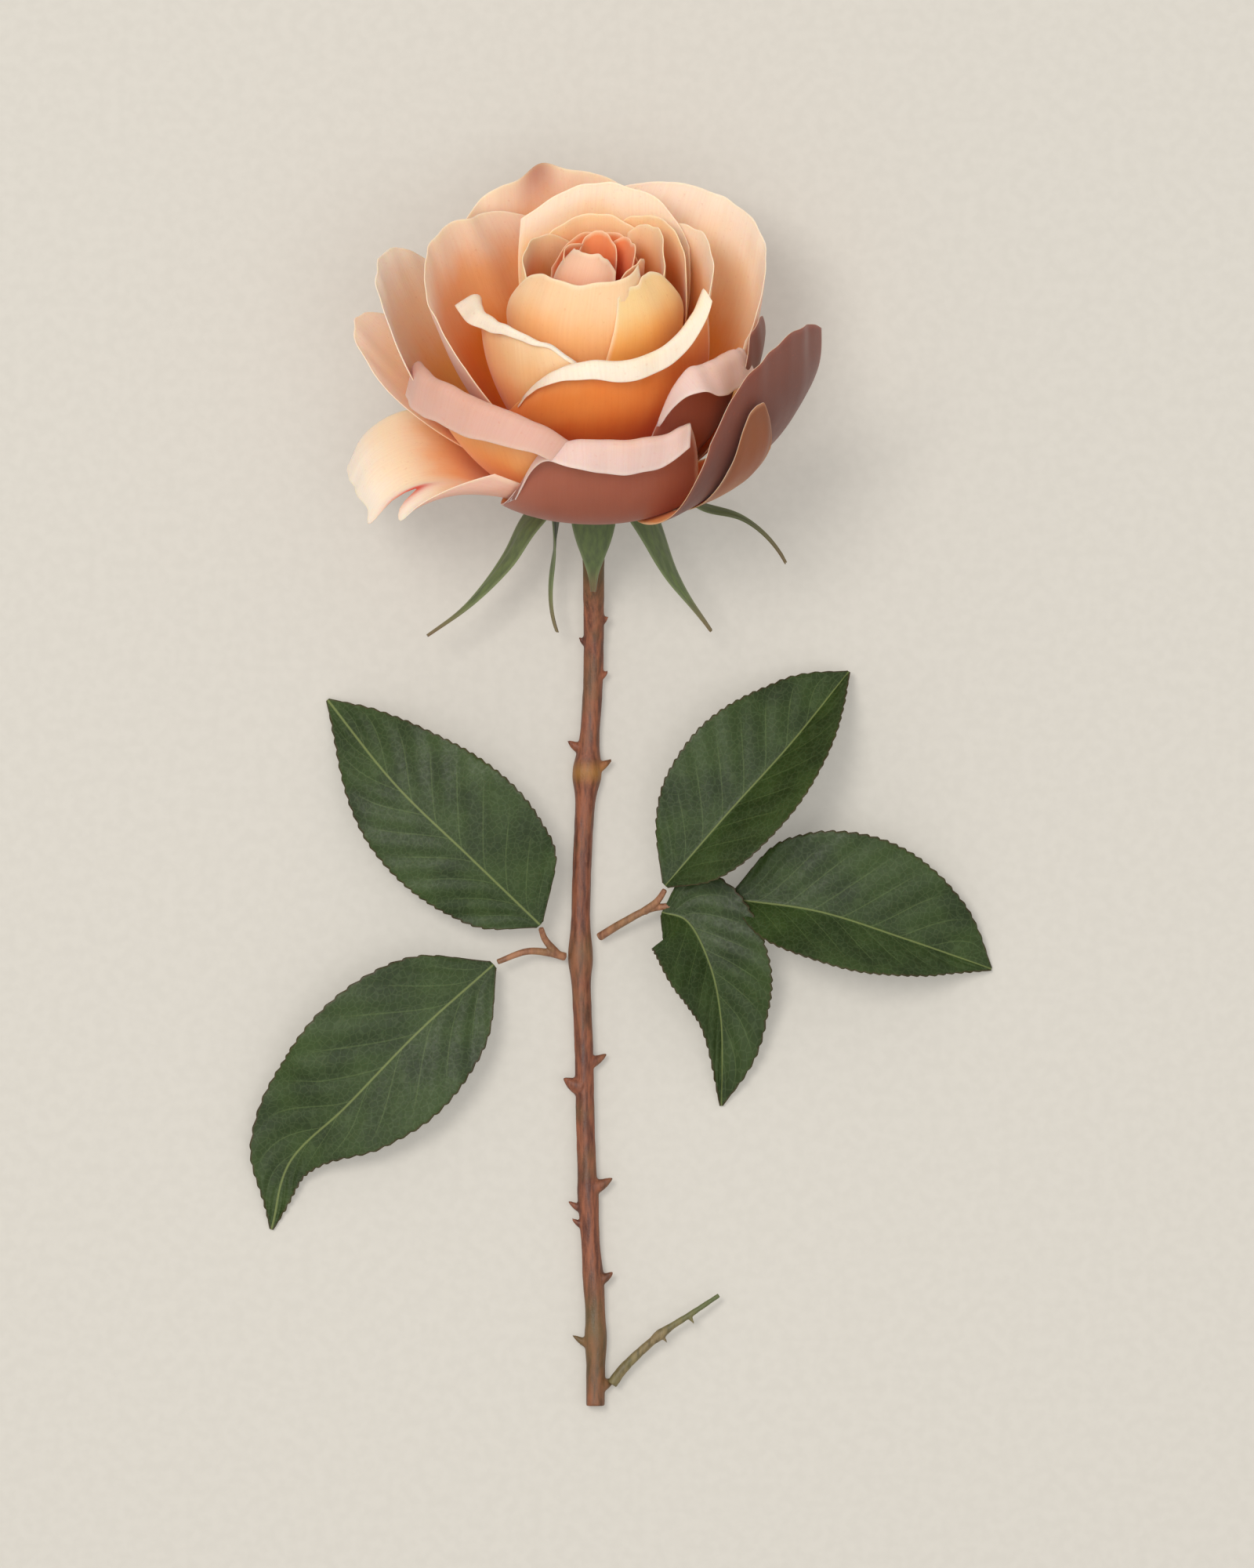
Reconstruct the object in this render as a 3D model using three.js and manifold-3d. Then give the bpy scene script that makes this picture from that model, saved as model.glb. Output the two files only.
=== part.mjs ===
// A cut rose laid on a flat surface: one bloom on a prickly stem with two compound leaves and a side shoot.
// Millimetres, +Z up. The stem runs along -Y from the bloom, and the bloom's face turns up and towards -Y.
// The origin is the middle of the rose's bounding box, on the surface that it lies on.
import * as THREE from "three";
import Module from "manifold-3d";
import { mergeVertices } from "three/addons/utils/BufferGeometryUtils.js";

const wasm = await Module();
wasm.setup();

// ---- Driving dimensions ----
const HEAD_TILT = 36; // degrees that the bloom's axis rises above the surface
const PETAL_THICKNESS = 0.6;
const LEAF_THICKNESS = 0.7;
const SEPAL_THICKNESS = 0.8;
const CLEARANCE = 0.3; // gap between pieces that touch
const BLOOM_SCALE = 1; // size of every petal and sepal against the lengths in their tables
const HIP_RADIUS = 6.9; // the green hip at its top, under the petals
const HIP_LENGTH = 12;
const CONE_HEIGHT = 10.4; // the cone above the hip that the petals grow from
const CONE_TOP_RADIUS = 1.2;
const STEM_RADIUS = 2.05;
const STEM_REACH = 203; // from the bloom's base to the cut end, along Y
const SHOOT_RADIUS = 1.2;
const RACHIS_RADIUS = 0.95;
const LEAF_SCALE = 1; // width of every leaflet against the widths in the table of leaflets
const ROD_SIDES = 10;

const { degToRad, clamp, lerp, smoothstep } = THREE.MathUtils;
const V = (x, y, z) => new THREE.Vector3(x, y, z);

// ---- Colours ----
const PETAL_HEART = { color: "#e8893c", roughness: 0.55 };
const PETAL_CUP = { color: "#f0aa6c", roughness: 0.55 };
const PETAL_OUTER = { color: "#e7b79c", roughness: 0.6 };
const LEAF_GREEN = { color: "#3f5c3a", roughness: 0.5 };
const SEPAL_GREEN = { color: "#4c5f2c", roughness: 0.6 };
const BARK = { color: "#7d4a38", roughness: 0.6 };
const SHOOT_BARK = { color: "#7a6a45", roughness: 0.65 };

// ---- Solids ----

// A value at t from 0 to 1 along a list of evenly spaced stations, on a Catmull-Rom curve.
function station(list, t) {
  const last = list.length - 1;
  const x = clamp(t, 0, 1) * last;
  const i = Math.min(Math.floor(x), last - 1);
  const f = x - i;
  const [a, b] = [list[i], list[i + 1]];
  const before = list[i - 1] ?? 2 * a - b;
  const after = list[i + 2] ?? 2 * b - a;
  const slopeA = (b - before) / 2;
  const slopeB = (after - a) / 2;
  return (
    a * (1 + 2 * f) * (1 - f) ** 2 + slopeA * f * (1 - f) ** 2 +
    b * f * f * (3 - 2 * f) - slopeB * f * f * (1 - f)
  );
}

function geometryOf(points, faces) {
  const geometry = new THREE.BufferGeometry();
  geometry.setAttribute("position", new THREE.Float32BufferAttribute(points.flatMap((p) => p.toArray()), 3));
  geometry.setIndex(faces.flat());
  geometry.computeVertexNormals();
  return geometry;
}

// A closed shell around surface(u, v), with u from -1 to 1 across and v from 0 to 1 along.
// A `crowd` above 1 crowds its rows towards v = 1. `grow` carries its edges past the surface by that share.
function shell(surface, { across, along, crowd = 1 }, thickness, grow = 0) {
  const grid = [];
  const past = 1 + grow;
  for (let j = 0; j <= along; j++) {
    const v = 1 - (1 - j / along) ** crowd;
    for (let i = 0; i <= across; i++) grid.push(surface(past * (-1 + (2 * i) / across), past * v));
  }
  const id = (i, j) => j * (across + 1) + i;
  const step = (i, j, di, dj) =>
    grid[id(Math.min(i + di, across), Math.min(j + dj, along))]
      .clone()
      .sub(grid[id(Math.max(i - di, 0), Math.max(j - dj, 0))]);
  const normals = [];
  for (let j = 0; j <= along; j++)
    for (let i = 0; i <= across; i++) normals.push(step(i, j, 1, 0).cross(step(i, j, 0, 1)).normalize());
  const half = thickness / 2;
  const front = grid.map((p, k) => p.clone().addScaledVector(normals[k], half));
  const back = grid.map((p, k) => p.clone().addScaledVector(normals[k], -half));
  const n = grid.length;
  const faces = [];
  for (let j = 0; j < along; j++)
    for (let i = 0; i < across; i++) {
      const [a, b, c, d] = [id(i, j), id(i + 1, j), id(i + 1, j + 1), id(i, j + 1)];
      faces.push([a, b, c], [a, c, d], [n + c, n + b, n + a], [n + d, n + c, n + a]);
    }
  const rim = [];
  for (let i = 0; i < across; i++) rim.push(id(i, 0));
  for (let j = 0; j < along; j++) rim.push(id(across, j));
  for (let i = across; i > 0; i--) rim.push(id(i, along));
  for (let j = along; j > 0; j--) rim.push(id(0, j));
  rim.forEach((p, k) => {
    const q = rim[(k + 1) % rim.length];
    faces.push([p, n + p, n + q], [p, n + q, q]);
  });
  return geometryOf([...front, ...back], faces);
}

// A closed round rod through points, with a radius at t from 0 to 1 along it.
function rod(points, radiusAt, steps, sides = ROD_SIDES) {
  const curve = new THREE.CatmullRomCurve3(points, false, "centripetal");
  const ring = [];
  let normal = V(0, 0, 1);
  for (let k = 0; k <= steps; k++) {
    const tangent = curve.getTangentAt(k / steps);
    normal = normal.clone().addScaledVector(tangent, -normal.dot(tangent)).normalize();
    const side = tangent.clone().cross(normal);
    const centre = curve.getPointAt(k / steps);
    const r = radiusAt(k / steps);
    for (let s = 0; s < sides; s++) {
      const a = (2 * Math.PI * s) / sides;
      const point = centre.clone().addScaledVector(normal, r * Math.cos(a));
      ring.push(point.addScaledVector(side, r * Math.sin(a)));
    }
  }
  const [first, last] = [ring.length, ring.length + 1];
  const faces = [];
  for (let s = 0; s < sides; s++) {
    const t = (s + 1) % sides;
    for (let k = 0; k < steps; k++) {
      const [a, b, c, d] = [k * sides + s, k * sides + t, (k + 1) * sides + t, (k + 1) * sides + s];
      faces.push([a, b, c], [a, c, d]);
    }
    faces.push([first, t, s], [last, steps * sides + s, steps * sides + t]);
  }
  return geometryOf([...ring, curve.getPoint(0), curve.getPoint(1)], faces);
}

function solidOf(geometry) {
  const merged = mergeVertices(
    new THREE.BufferGeometry()
      .setAttribute("position", geometry.getAttribute("position"))
      .setIndex(geometry.index),
    1e-4,
  );
  return new wasm.Manifold(
    new wasm.Mesh({
      numProp: 3,
      vertProperties: merged.attributes.position.array,
      triVerts: new Uint32Array(merged.index.array),
    }),
  );
}

function geometryFrom(solid) {
  const { numProp, numVert, vertProperties, triVerts } = solid.getMesh();
  const points = [];
  for (let i = 0; i < numVert; i++) points.push(V(...vertProperties.slice(i * numProp, i * numProp + 3)));
  const geometry = new THREE.BufferGeometry().setFromPoints(points);
  geometry.setIndex(Array.from(triVerts));
  geometry.computeVertexNormals();
  return geometry;
}

const biggest = (solid) => solid.decompose().reduce((a, b) => (a.volume() > b.volume() ? a : b));

// ---- Petals ----
// The bloom's frame has +Z up its axis, +X to the right and +Y to the back. A petal has:
// az      the azimuth that it faces, in degrees from +X towards +Y
// layer   its place on the cone, from 0 at the top to LAYERS - 1 at the hip
// half    half its width, measured round the curve
// line    distance from the axis and height of points along its midline, after its foot
// widths  share of `half` at stations along it, if not PETAL_WIDTHS
// wrap    the radius of its cross-section against its distance from the axis
// roll    how far its rim bends outwards at its clockwise edge, middle and anticlockwise edge, in degrees
// start   the share of its length where that bend starts, at those three places
// curl    how soon the bend is done, as a share of what is left of its length
// drop    how much shorter its two edges are than its middle, as shares of the length
// rise    how far its two far corners are lifted along the axis, in mm
// point   how much longer its middle is, over a narrow tip, as a share of the length
// flare   how far its two edges stand out from its curve at the rim, in mm
// notch   notches in its rim, each with its place across, depth as a share of the length, and width
const LAYERS = 14;
const PETAL_WIDTHS = [0.09, 0.42, 0.74, 0.93, 1, 1, 0.93];
const BUD_WIDTHS = [0.09, 0.45, 0.8, 0.97, 1, 0.95, 0.8];
const HOOD_WIDTHS = [0.09, 0.45, 0.8, 0.97, 1, 0.86, 0.55];
const PETALS = [
  { name: "heart_petal_front", az: -115, layer: 0, half: 9, line: [[4, 22], [7.5, 40], [8.5, 53], [3, 60]],
    drop: 0.1 },
  { name: "heart_petal_back", az: 70, layer: 0, half: 6, line: [[3, 22], [4, 42], [6, 60]], drop: 0.1 },
  { name: "heart_petal_curl", az: 20, layer: 1, half: 8, line: [[4, 20], [7, 42], [9, 59]], drop: 0.1 },
  { name: "heart_petal_left", az: 150, layer: 2, half: 9, line: [[6, 20], [8.5, 40], [6, 58]], drop: 0.1 },
  { name: "heart_petal_right", az: -35, layer: 2, half: 8, line: [[6, 20], [10, 40], [11.5, 60]],
    drop: 0.1 },
  { name: "heart_petal_fold", az: 80, layer: 3, half: 13, line: [[7, 20], [11, 40], [12, 56]], drop: 0.14 },
  { name: "bud_petal_left", az: 163, layer: 4, half: 18, line: [[10, 18], [15, 40], [15, 57]], drop: 0.16 },
  { name: "bud_petal_right", az: 22, layer: 4, half: 11, line: [[10, 18], [14.5, 40], [15.5, 60]],
    drop: 0.1 },
  { name: "bud_front_left", az: -122, layer: 5, half: 23,
    line: [[11, 17], [17.6, 36], [17.6, 50], [13, 58.7]], widths: BUD_WIDTHS, drop: [0.3, -0.03] },
  { name: "bud_petal_back", az: 88, layer: 5, half: 15, line: [[11, 17], [16, 38], [17, 57]], drop: 0.12 },
  { name: "bud_front_right", az: -34, layer: 6, half: 17,
    line: [[12.5, 16], [18.8, 36], [18.8, 49], [14, 58]], widths: HOOD_WIDTHS, drop: [0.04, 0.26] },
  { name: "bud_petal_far_right", az: 40, layer: 7, half: 15, line: [[13, 17], [19.6, 38], [20, 58]],
    drop: 0.14 },
  { name: "cup_petal_left", az: 222, layer: 7, half: 21, line: [[15, 14], [23, 32], [24.5, 53]],
    widths: BUD_WIDTHS, roll: [110, 150, 130], start: [0.86, 0.94, 0.985], curl: 0.6, drop: [0.02, 0.12] },
  { name: "cup_petal_back", az: 78, layer: 7, half: 21, line: [[16, 17], [22, 36], [26, 59]], drop: 0.14,
    flare: [0, 4] },
  { name: "cup_petal_front", az: -78, layer: 8, half: 28, line: [[17, 14], [25, 30], [26, 53]],
    widths: BUD_WIDTHS, roll: [90, 150, 120], start: [0.985, 0.89, 0.93], curl: 0.5, drop: [0.36, -0.14] },
  { name: "cup_petal_right", az: 22, layer: 8, half: 16, line: [[17, 16], [23.5, 36], [26, 56]],
    drop: 0.1 },
  { name: "cup_petal_far_left", az: 158, layer: 9, half: 36, line: [[20, 15], [30, 32], [37, 53]],
    drop: 0.2 },
  { name: "outer_petal_back_left", az: 106, layer: 10, half: 28, line: [[23, 16], [34, 34], [41, 55]],
    drop: 0.16, point: 0.03 },
  { name: "outer_petal_back_right", az: 40, layer: 10, half: 36, line: [[24, 15], [34, 33], [40, 54]],
    drop: [0.22, 0.12], flare: [-3, 0] },
  { name: "outer_petal_front_right", az: -44, layer: 10, half: 14.5, line: [[22, 11], [31, 26], [33.5, 55]],
    widths: BUD_WIDTHS, roll: [60, 150, 140], start: [0.97, 0.83, 0.86], curl: 0.5, drop: [0.32, 0.1] },
  { name: "outer_petal_front_left", az: 229, layer: 10, half: 28,
    line: [[22, 7], [33, 20], [38, 36], [39, 51]], widths: BUD_WIDTHS, roll: [150, 155, 120],
    start: [0.84, 0.82, 0.9], curl: 0.5, drop: [0.14, 0.22] },
  { name: "outer_petal_left", az: 172, layer: 11, half: 22, line: [[25, 12], [39, 30], [47, 51]],
    drop: 0.2 },
  { name: "outer_petal_right", az: -15, layer: 11, half: 11,
    line: [[24, 11], [34, 26], [37, 38], [36.5, 46.5]], drop: 0.16 },
  { name: "guard_petal_low_right", az: -45, layer: 13, half: 7,
    line: [[25, 6], [40, 15], [48.5, 29], [50, 43]], drop: 0.24 },
  { name: "guard_petal_right", az: -32, layer: 12, half: 20, line: [[23, 5], [38, 15], [46, 31], [48, 53]],
    wrap: 1.9, drop: [0.3, 0.12] },
  { name: "guard_petal_left", az: 174, layer: 12, half: 15, line: [[26, 12], [42, 25], [52, 36]],
    drop: 0.18 },
  { name: "guard_petal_front", az: -88, layer: 12, half: 23,
    line: [[20, 4], [31, 9], [36.5, 20], [37.8, 44]], widths: BUD_WIDTHS, roll: [40, 150, 140],
    start: [0.98, 0.84, 0.88], curl: 0.5, drop: [0.46, 0.04] },
  { name: "guard_petal_low_left", az: 203, layer: 13, half: 24.5,
    line: [[20, 3], [33, 11], [43, 13], [50, 10], [53, 5]], drop: [-0.02, 0.34], rise: [-3, 10],
    notch: [[0.34, 0.2, 0.11], [0.12, -0.04, 0.08], [0.6, -0.06, 0.1]] },
  { name: "guard_petal_back_left", az: 122, layer: 13, half: 24, line: [[24, 7], [39, 20], [46, 40]],
    drop: 0.2 },
  { name: "guard_petal_back_right", az: 62, layer: 13, half: 24, line: [[24, 7], [39, 20], [46, 40]],
    drop: 0.2 },
];
const LINE_STEPS = 40;
const HEART_LAYERS = 7; // layers of the closed heart, then of the cup round it, in their own colours
const CUP_LAYERS = 3;

// Sepals turn down round the hip. `swing` carries the tip round the axis, in degrees.
const SEPAL_WIDTHS = [0.9, 1, 0.8, 0.5, 0.22, 0.1];
const SEPALS = [
  { name: "sepal_front", az: -90, half: 5.2, line: [[9.2, -9], [8, -18], [7, -26]] },
  { name: "sepal_left", az: 208, half: 3.4, line: [[16, -8], [21, -16.4], [29.5, -25.7], [38.9, -32.4]],
    swing: -6 },
  { name: "sepal_back_left", az: 146, half: 3.6, line: [[9, -8], [8.6, -20], [12.4, -35]], swing: 84 },
  { name: "sepal_right", az: -30, half: 4.4, line: [[13.5, -7], [20, -20], [29.6, -31]] },
  { name: "sepal_back_right", az: 42, half: 3.6, line: [[16, -6], [25, -14], [33, -14], [43, -16]],
    swing: -56 },
];

// A petal's or sepal's midline from its foot, as evenly spaced points of radius and height.
function midline(p) {
  const share = p.layer / (LAYERS - 1);
  const off = CLEARANCE + PETAL_THICKNESS / 2;
  const foot = V(lerp(CONE_TOP_RADIUS, HIP_RADIUS, share) + off, lerp(CONE_HEIGHT, 0, share) + off, 0);
  const rest = p.line.map(([r, h]) => V(r * BLOOM_SCALE, h * BLOOM_SCALE, 0));
  return new THREE.CatmullRomCurve3([foot, ...rest]).getSpacedPoints(LINE_STEPS);
}

function pointOn(line, s) {
  const i = Math.min(Math.floor(s * LINE_STEPS), LINE_STEPS - 1);
  return line[i].clone().lerp(line[i + 1], s * LINE_STEPS - i);
}

// The first `reach` of a midline, bent outwards by `bend` between the shares `start` and `end`.
function bentLine(line, reach, bend, start, end) {
  const bent = [line[0]];
  for (let k = 0; k < LINE_STEPS; k++) {
    const turn = -bend * smoothstep((k + 0.5) / LINE_STEPS, start, end);
    const step = pointOn(line, (reach * (k + 1)) / LINE_STEPS).sub(pointOn(line, (reach * k) / LINE_STEPS));
    bent.push(bent[k].clone().add(step.applyAxisAngle(V(0, 0, 1), turn)));
  }
  return bent;
}

// A value at u that is one number all over, or given at the clockwise edge, the middle and the other edge.
function acrossThree(value, u) {
  const [a, b, c] = Array.isArray(value) ? value : [value, value, value];
  return b + ((c - a) / 2) * u + ((a + c) / 2 - b) * u * u;
}

// A value at u that is one number all over, or given for the clockwise half and the other half.
const onSide = (value, u) => (Array.isArray(value) ? value[u < 0 ? 0 : 1] : value);

function petalSurface(petal) {
  const p = {
    widths: PETAL_WIDTHS, wrap: 1, roll: 0, start: 0.8, curl: 1, drop: 0.18, rise: 0, point: 0, flare: 0,
    notch: [], swing: 0, ...petal,
  };
  const line = midline(p);
  return (u, v) => {
    const notches = p.notch.map(([place, deep, wide]) => 1 - deep * Math.exp(-(((u - place) / wide) ** 2)));
    const tip = p.point * Math.exp(-((u / 0.14) ** 2));
    const whole = (1 - onSide(p.drop, u) * Math.abs(u) ** 2.4 + tip) / (1 + p.point);
    const reach = notches.reduce((a, b) => a * b, whole);
    const start = acrossThree(p.start, u);
    const end = lerp(start, 1, p.curl);
    const plain = pointOn(line, reach * v);
    const bent = pointOn(bentLine(line, reach, degToRad(acrossThree(p.roll, u)), start, end), v);
    const width = p.half * BLOOM_SCALE * station(p.widths, v);
    const ring = Math.max(p.wrap * plain.x, width / 2.5);
    const lift = bent.x - plain.x + onSide(p.flare, u) * u * u * v ** 3;
    const az = degToRad(p.az + p.swing * v ** 1.5);
    const angle = az + (width * u) / ring;
    return V(Math.cos(az), Math.sin(az), 0)
      .multiplyScalar(plain.x - ring)
      .addScaledVector(V(Math.cos(angle), Math.sin(angle), 0), ring + lift)
      .setZ(bent.y + onSide(p.rise, u) * BLOOM_SCALE * u * u * v * v);
  };
}

// ---- Leaves ----
// A leaf joins the stem at a share `at` of the stem's reach. Points of its stalks and of its leaflets'
// midribs are [x, y, z], with x and y from where it joins and z above the surface. Half widths of a
// leaflet are listed from base to tip, on the left and right as seen from the base. `fold` raises each
// side, in degrees.
const LEAVES = [
  {
    at: 0.517,
    rachis: "rachis_left",
    stalks: [
      [[0, 0, 2.3], [-3.5, 0, 2.6], [-7, 0.9, 4], [-11.8, 1.2, 5.2], [-18.3, -1.1, 5.9]],
      [[-5.3, 0.7, 3.4], [-7.9, 3.9, 6], [-8.8, 6.3, 7.6]],
    ],
    leaflets: [
      {
        name: "leaflet_left_upper",
        midrib: [[-9, 7.1, 8], [-24.3, 21.9, 12], [-40.3, 37.4, 10], [-55.4, 56.1, 0.8]],
        left: [1, 9.2, 12.6, 14.2, 14.3, 12.9, 9.6, 5, 0.4],
        right: [1, 13, 16.6, 18, 17.6, 15.8, 12.4, 7.4, 0.4],
        fold: [-8, 8],
      },
      {
        name: "leaflet_left_lower",
        midrib: [
          [-19.2, -1.7, 6], [-35.3, -16.1, 9], [-51.3, -32.6, 7], [-63.8, -45.1, 3], [-67.7, -59.5, 0.8],
        ],
        left: [1, 10.8, 14.8, 15.4, 12.3, 7.4, 4.6, 3, 0.4],
        right: [1, 12, 16.8, 18.5, 17.4, 14.8, 9.6, 4, 0.4],
        fold: [6, 6],
      },
    ],
  },
  {
    at: 0.496,
    rachis: "rachis_right",
    stalks: [
      [[0, 0, 2.3], [4, 0, 2.6], [9.2, 3.2, 5], [15.2, 6.2, 6.6], [22, 7, 7], [32, 8.2, 6.9]],
      [[13.8, 5.6, 6.3], [16.8, 8, 7.8], [18.4, 10.4, 8.8]],
    ],
    leaflets: [
      {
        name: "leaflet_right_upper",
        midrib: [[18.6, 11.3, 9], [31.8, 26.6, 11], [45.8, 42.1, 9], [58.6, 57.9, 3]],
        left: [1, 9.3, 14.4, 16.6, 17.2, 15.8, 12.8, 8.4, 0.4],
        right: [1, 10, 14.6, 16, 15.6, 13.4, 10, 5.6, 0.4],
        fold: [4, 50],
      },
      {
        name: "leaflet_right_middle",
        midrib: [[33.1, 8.3, 7], [51.8, 5.6, 10], [70.8, -0.4, 7], [89.7, -7, 0.8]],
        left: [2, 12, 16.4, 18.6, 19, 17.6, 14.2, 9, 0.4],
        right: [1, 9, 12.6, 14, 13.6, 11.4, 8.4, 4.4, 0.4],
        fold: [4, 42],
      },
      {
        name: "leaflet_right_lower",
        midrib: [[17.8, 5.4, 7], [22.9, 3.7, 8], [28, -5.7, 9], [30.5, -17.6, 6], [30.7, -36.8, 0.8]],
        left: [1, 8.5, 12, 13, 13, 12.4, 10.4, 7, 0.4],
        right: [1, 8.5, 12, 13, 12.4, 9.4, 6, 3, 0.4],
        fold: [8, 40],
      },
    ],
  },
];
const LEAF_TEETH = 12; // along each edge of a leaflet
const TOOTH_DEPTH = 0.09; // share of the half width

function leafletSurface(leaflet, joint) {
  const rib = new THREE.CatmullRomCurve3(fromJoint(leaflet.midrib, joint));
  return (u, v) => {
    const t = clamp(v, 0, 1);
    const tangent = rib.getTangent(t);
    const side = tangent.clone().cross(V(0, 0, 1)).normalize();
    const up = side.clone().cross(tangent);
    const tooth = 1 - TOOTH_DEPTH * (Math.abs(u) > 0.9 ? (v * LEAF_TEETH) % 1 : 0);
    const width = station(u < 0 ? leaflet.left : leaflet.right, v) * LEAF_SCALE * tooth * u;
    const fold = degToRad(onSide(leaflet.fold, u));
    return rib
      .getPoint(t)
      .addScaledVector(side, width * Math.cos(fold))
      .addScaledVector(up, Math.abs(width) * Math.sin(fold));
  };
}

// ---- Stem ----
// Places along the stem are shares of its reach, from the bloom's base to the cut end.
const STEM_SWAY = [-0.2, -1.5, -2.5, -2.8, -2.1, -1.7, -0.9, 0.35, 0.4]; // X from the bend to the cut end
const STEM_NODES = [
  { at: 0.318, swell: 1.1 },
  { at: 0.515, swell: 0.7 },
  { at: 0.776, swell: 0.3 },
  { at: 0.867, swell: 0.3 },
  { at: 0.926, swell: 0.4 },
];
const NODE_SPREAD = 4.5;
// Prickles and bud scales: angle round the stem from its right side, length and root radius.
const PRICKLES = [
  { at: 0.159, round: 10, long: 1.2, wide: 1 },
  { at: 0.182, round: 170, long: 1.2, wide: 1 },
  { at: 0.218, round: 10, long: 1.4, wide: 1 },
  { at: 0.295, round: 175, long: 2.4, wide: 1.5 },
  { at: 0.317, round: 5, long: 2.6, wide: 1.5 },
  { at: 0.633, round: 0, long: 3.2, wide: 1.5 },
  { at: 0.658, round: 170, long: 3, wide: 2.2 },
  { at: 0.767, round: 8, long: 3.6, wide: 1.8 },
  { at: 0.79, round: 175, long: 2.6, wide: 1.1 },
  { at: 0.808, round: 165, long: 2.2, wide: 1 },
  { at: 0.867, round: 12, long: 2.4, wide: 1.5 },
  { at: 0.935, round: 178, long: 3, wide: 1.2 },
  { at: 0.98, round: -10, long: 2.6, wide: 1.6 },
];
const SHOOT_AT = 0.976;
const SHOOT = [
  [0, -1, 2.3], [3.6, 0, 2.6], [6.2, 3.5, 2.9], [14.6, 11.2, 4.2], [20.5, 15.1, 4.4], [27, 19.4, 3.4],
];
const SHOOT_NODE = 0.55; // share of the shoot's own length
const SHOOT_PRICKLES = [
  { at: 0.55, long: 2.4 },
  { at: 0.77, long: 2.2 },
];

// ---- The bloom ----
const tilt = degToRad(HEAD_TILT);
const bloom = new THREE.Group();
bloom.name = "bloom";
bloom.rotation.x = tilt - Math.PI / 2;
bloom.updateMatrix();
const placed = (surface) => (u, v) => surface(u, v).applyMatrix4(bloom.matrix);

const toneOf = (layer) => {
  if (layer < HEART_LAYERS) return PETAL_HEART;
  return layer < HEART_LAYERS + CUP_LAYERS ? PETAL_CUP : PETAL_OUTER;
};
const petals = PETALS.map((p) => ({
  name: p.name,
  tone: toneOf(p.layer),
  surface: petalSurface(p),
  grid: p.roll ? { across: 10, along: 11, crowd: 1.5 } : { across: 8, along: 7 },
}));
const sepals = SEPALS.map((p) => ({
  name: p.name,
  tone: SEPAL_GREEN,
  surface: petalSurface({ layer: LAYERS, drop: 0, widths: SEPAL_WIDTHS, ...p }),
  grid: { across: 4, along: 12 },
}));

// The bloom is raised until its lowest petal rests on the surface.
let lowest = Infinity;
for (const { surface } of petals)
  for (let u = -1; u <= 1; u += 0.1)
    for (let v = 0; v <= 1; v += 0.1) lowest = Math.min(lowest, placed(surface)(u, v).z);
bloom.position.z = PETAL_THICKNESS / 2 - lowest;
bloom.updateMatrix();

// Every piece is a solid and a slightly larger one that later pieces are cut back from.
const pieces = [];
const grown = (thickness) => thickness + 2 * CLEARANCE;

function add(group, name, tone, solid, around) {
  let cut = solid;
  const keepOut = solid.add(around);
  const box = solid.boundingBox();
  for (const other of pieces) {
    const near = [0, 1, 2].every((k) => other.box.min[k] < box.max[k] && other.box.max[k] > box.min[k]);
    if (near) cut = cut.subtract(other.keepOut);
  }
  pieces.push({ group, name, tone, solid: biggest(cut).simplify(0.02), keepOut, box: keepOut.boundingBox() });
}

function addSheet(group, { name, tone, surface, grid }, thickness) {
  const solid = solidOf(shell(surface, grid, thickness));
  add(group, name, tone, solid, solidOf(shell(surface, grid, grown(thickness), 0.01)));
}

const hipProfile = (extra) => [
  [0, -HIP_LENGTH - extra],
  [STEM_RADIUS * 1.15 + extra, -HIP_LENGTH - extra],
  [HIP_RADIUS * 0.62 + extra, -HIP_LENGTH * 0.72],
  [HIP_RADIUS * 0.85 + extra, -HIP_LENGTH * 0.4],
  [HIP_RADIUS * 0.86 + extra, -HIP_LENGTH * 0.18],
  [HIP_RADIUS + extra, 0],
  [CONE_TOP_RADIUS + extra, CONE_HEIGHT],
  [0, CONE_HEIGHT + extra + 0.4],
];
function hipSolid(extra) {
  const points = hipProfile(extra).map(([r, h]) => new THREE.Vector2(r, h));
  return solidOf(new THREE.LatheGeometry(points, 18).rotateX(Math.PI / 2).applyMatrix4(bloom.matrix));
}
add(bloom, "hip", SEPAL_GREEN, hipSolid(0), hipSolid(CLEARANCE));
for (const petal of petals) addSheet(bloom, { ...petal, surface: placed(petal.surface) }, PETAL_THICKNESS);
for (const sepal of sepals) addSheet(bloom, { ...sepal, surface: placed(sepal.surface) }, SEPAL_THICKNESS);

// ---- The stem, bending from under the hip down to the surface ----
const greenery = new THREE.Group();
greenery.name = "stem_and_leaves";
const stemRest = STEM_RADIUS * 1.05;
const neck = V(0, 0, -HIP_LENGTH - CLEARANCE).applyMatrix4(bloom.matrix);
const bendRadius = (neck.z - stemRest) / (1 - Math.cos(tilt));
const bendEnd = neck.y - bendRadius * Math.sin(tilt);
const stemPoints = [];
for (let k = 0; k < 4; k++) {
  const a = tilt * (1 - k / 4);
  const bend = V(0, bendEnd + bendRadius * Math.sin(a), stemRest + bendRadius * (1 - Math.cos(a)));
  stemPoints.push(bend);
}
STEM_SWAY.forEach((x, k) => {
  stemPoints.push(V(x, lerp(bendEnd, -STEM_REACH, k / (STEM_SWAY.length - 1)), stemRest));
});
const stemLine = new THREE.CatmullRomCurve3(stemPoints, false, "centripetal");
const swellAt = (y) =>
  STEM_NODES.reduce((sum, n) => sum + n.swell * Math.exp(-(((y + n.at * STEM_REACH) / NODE_SPREAD) ** 2)), 0);
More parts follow.
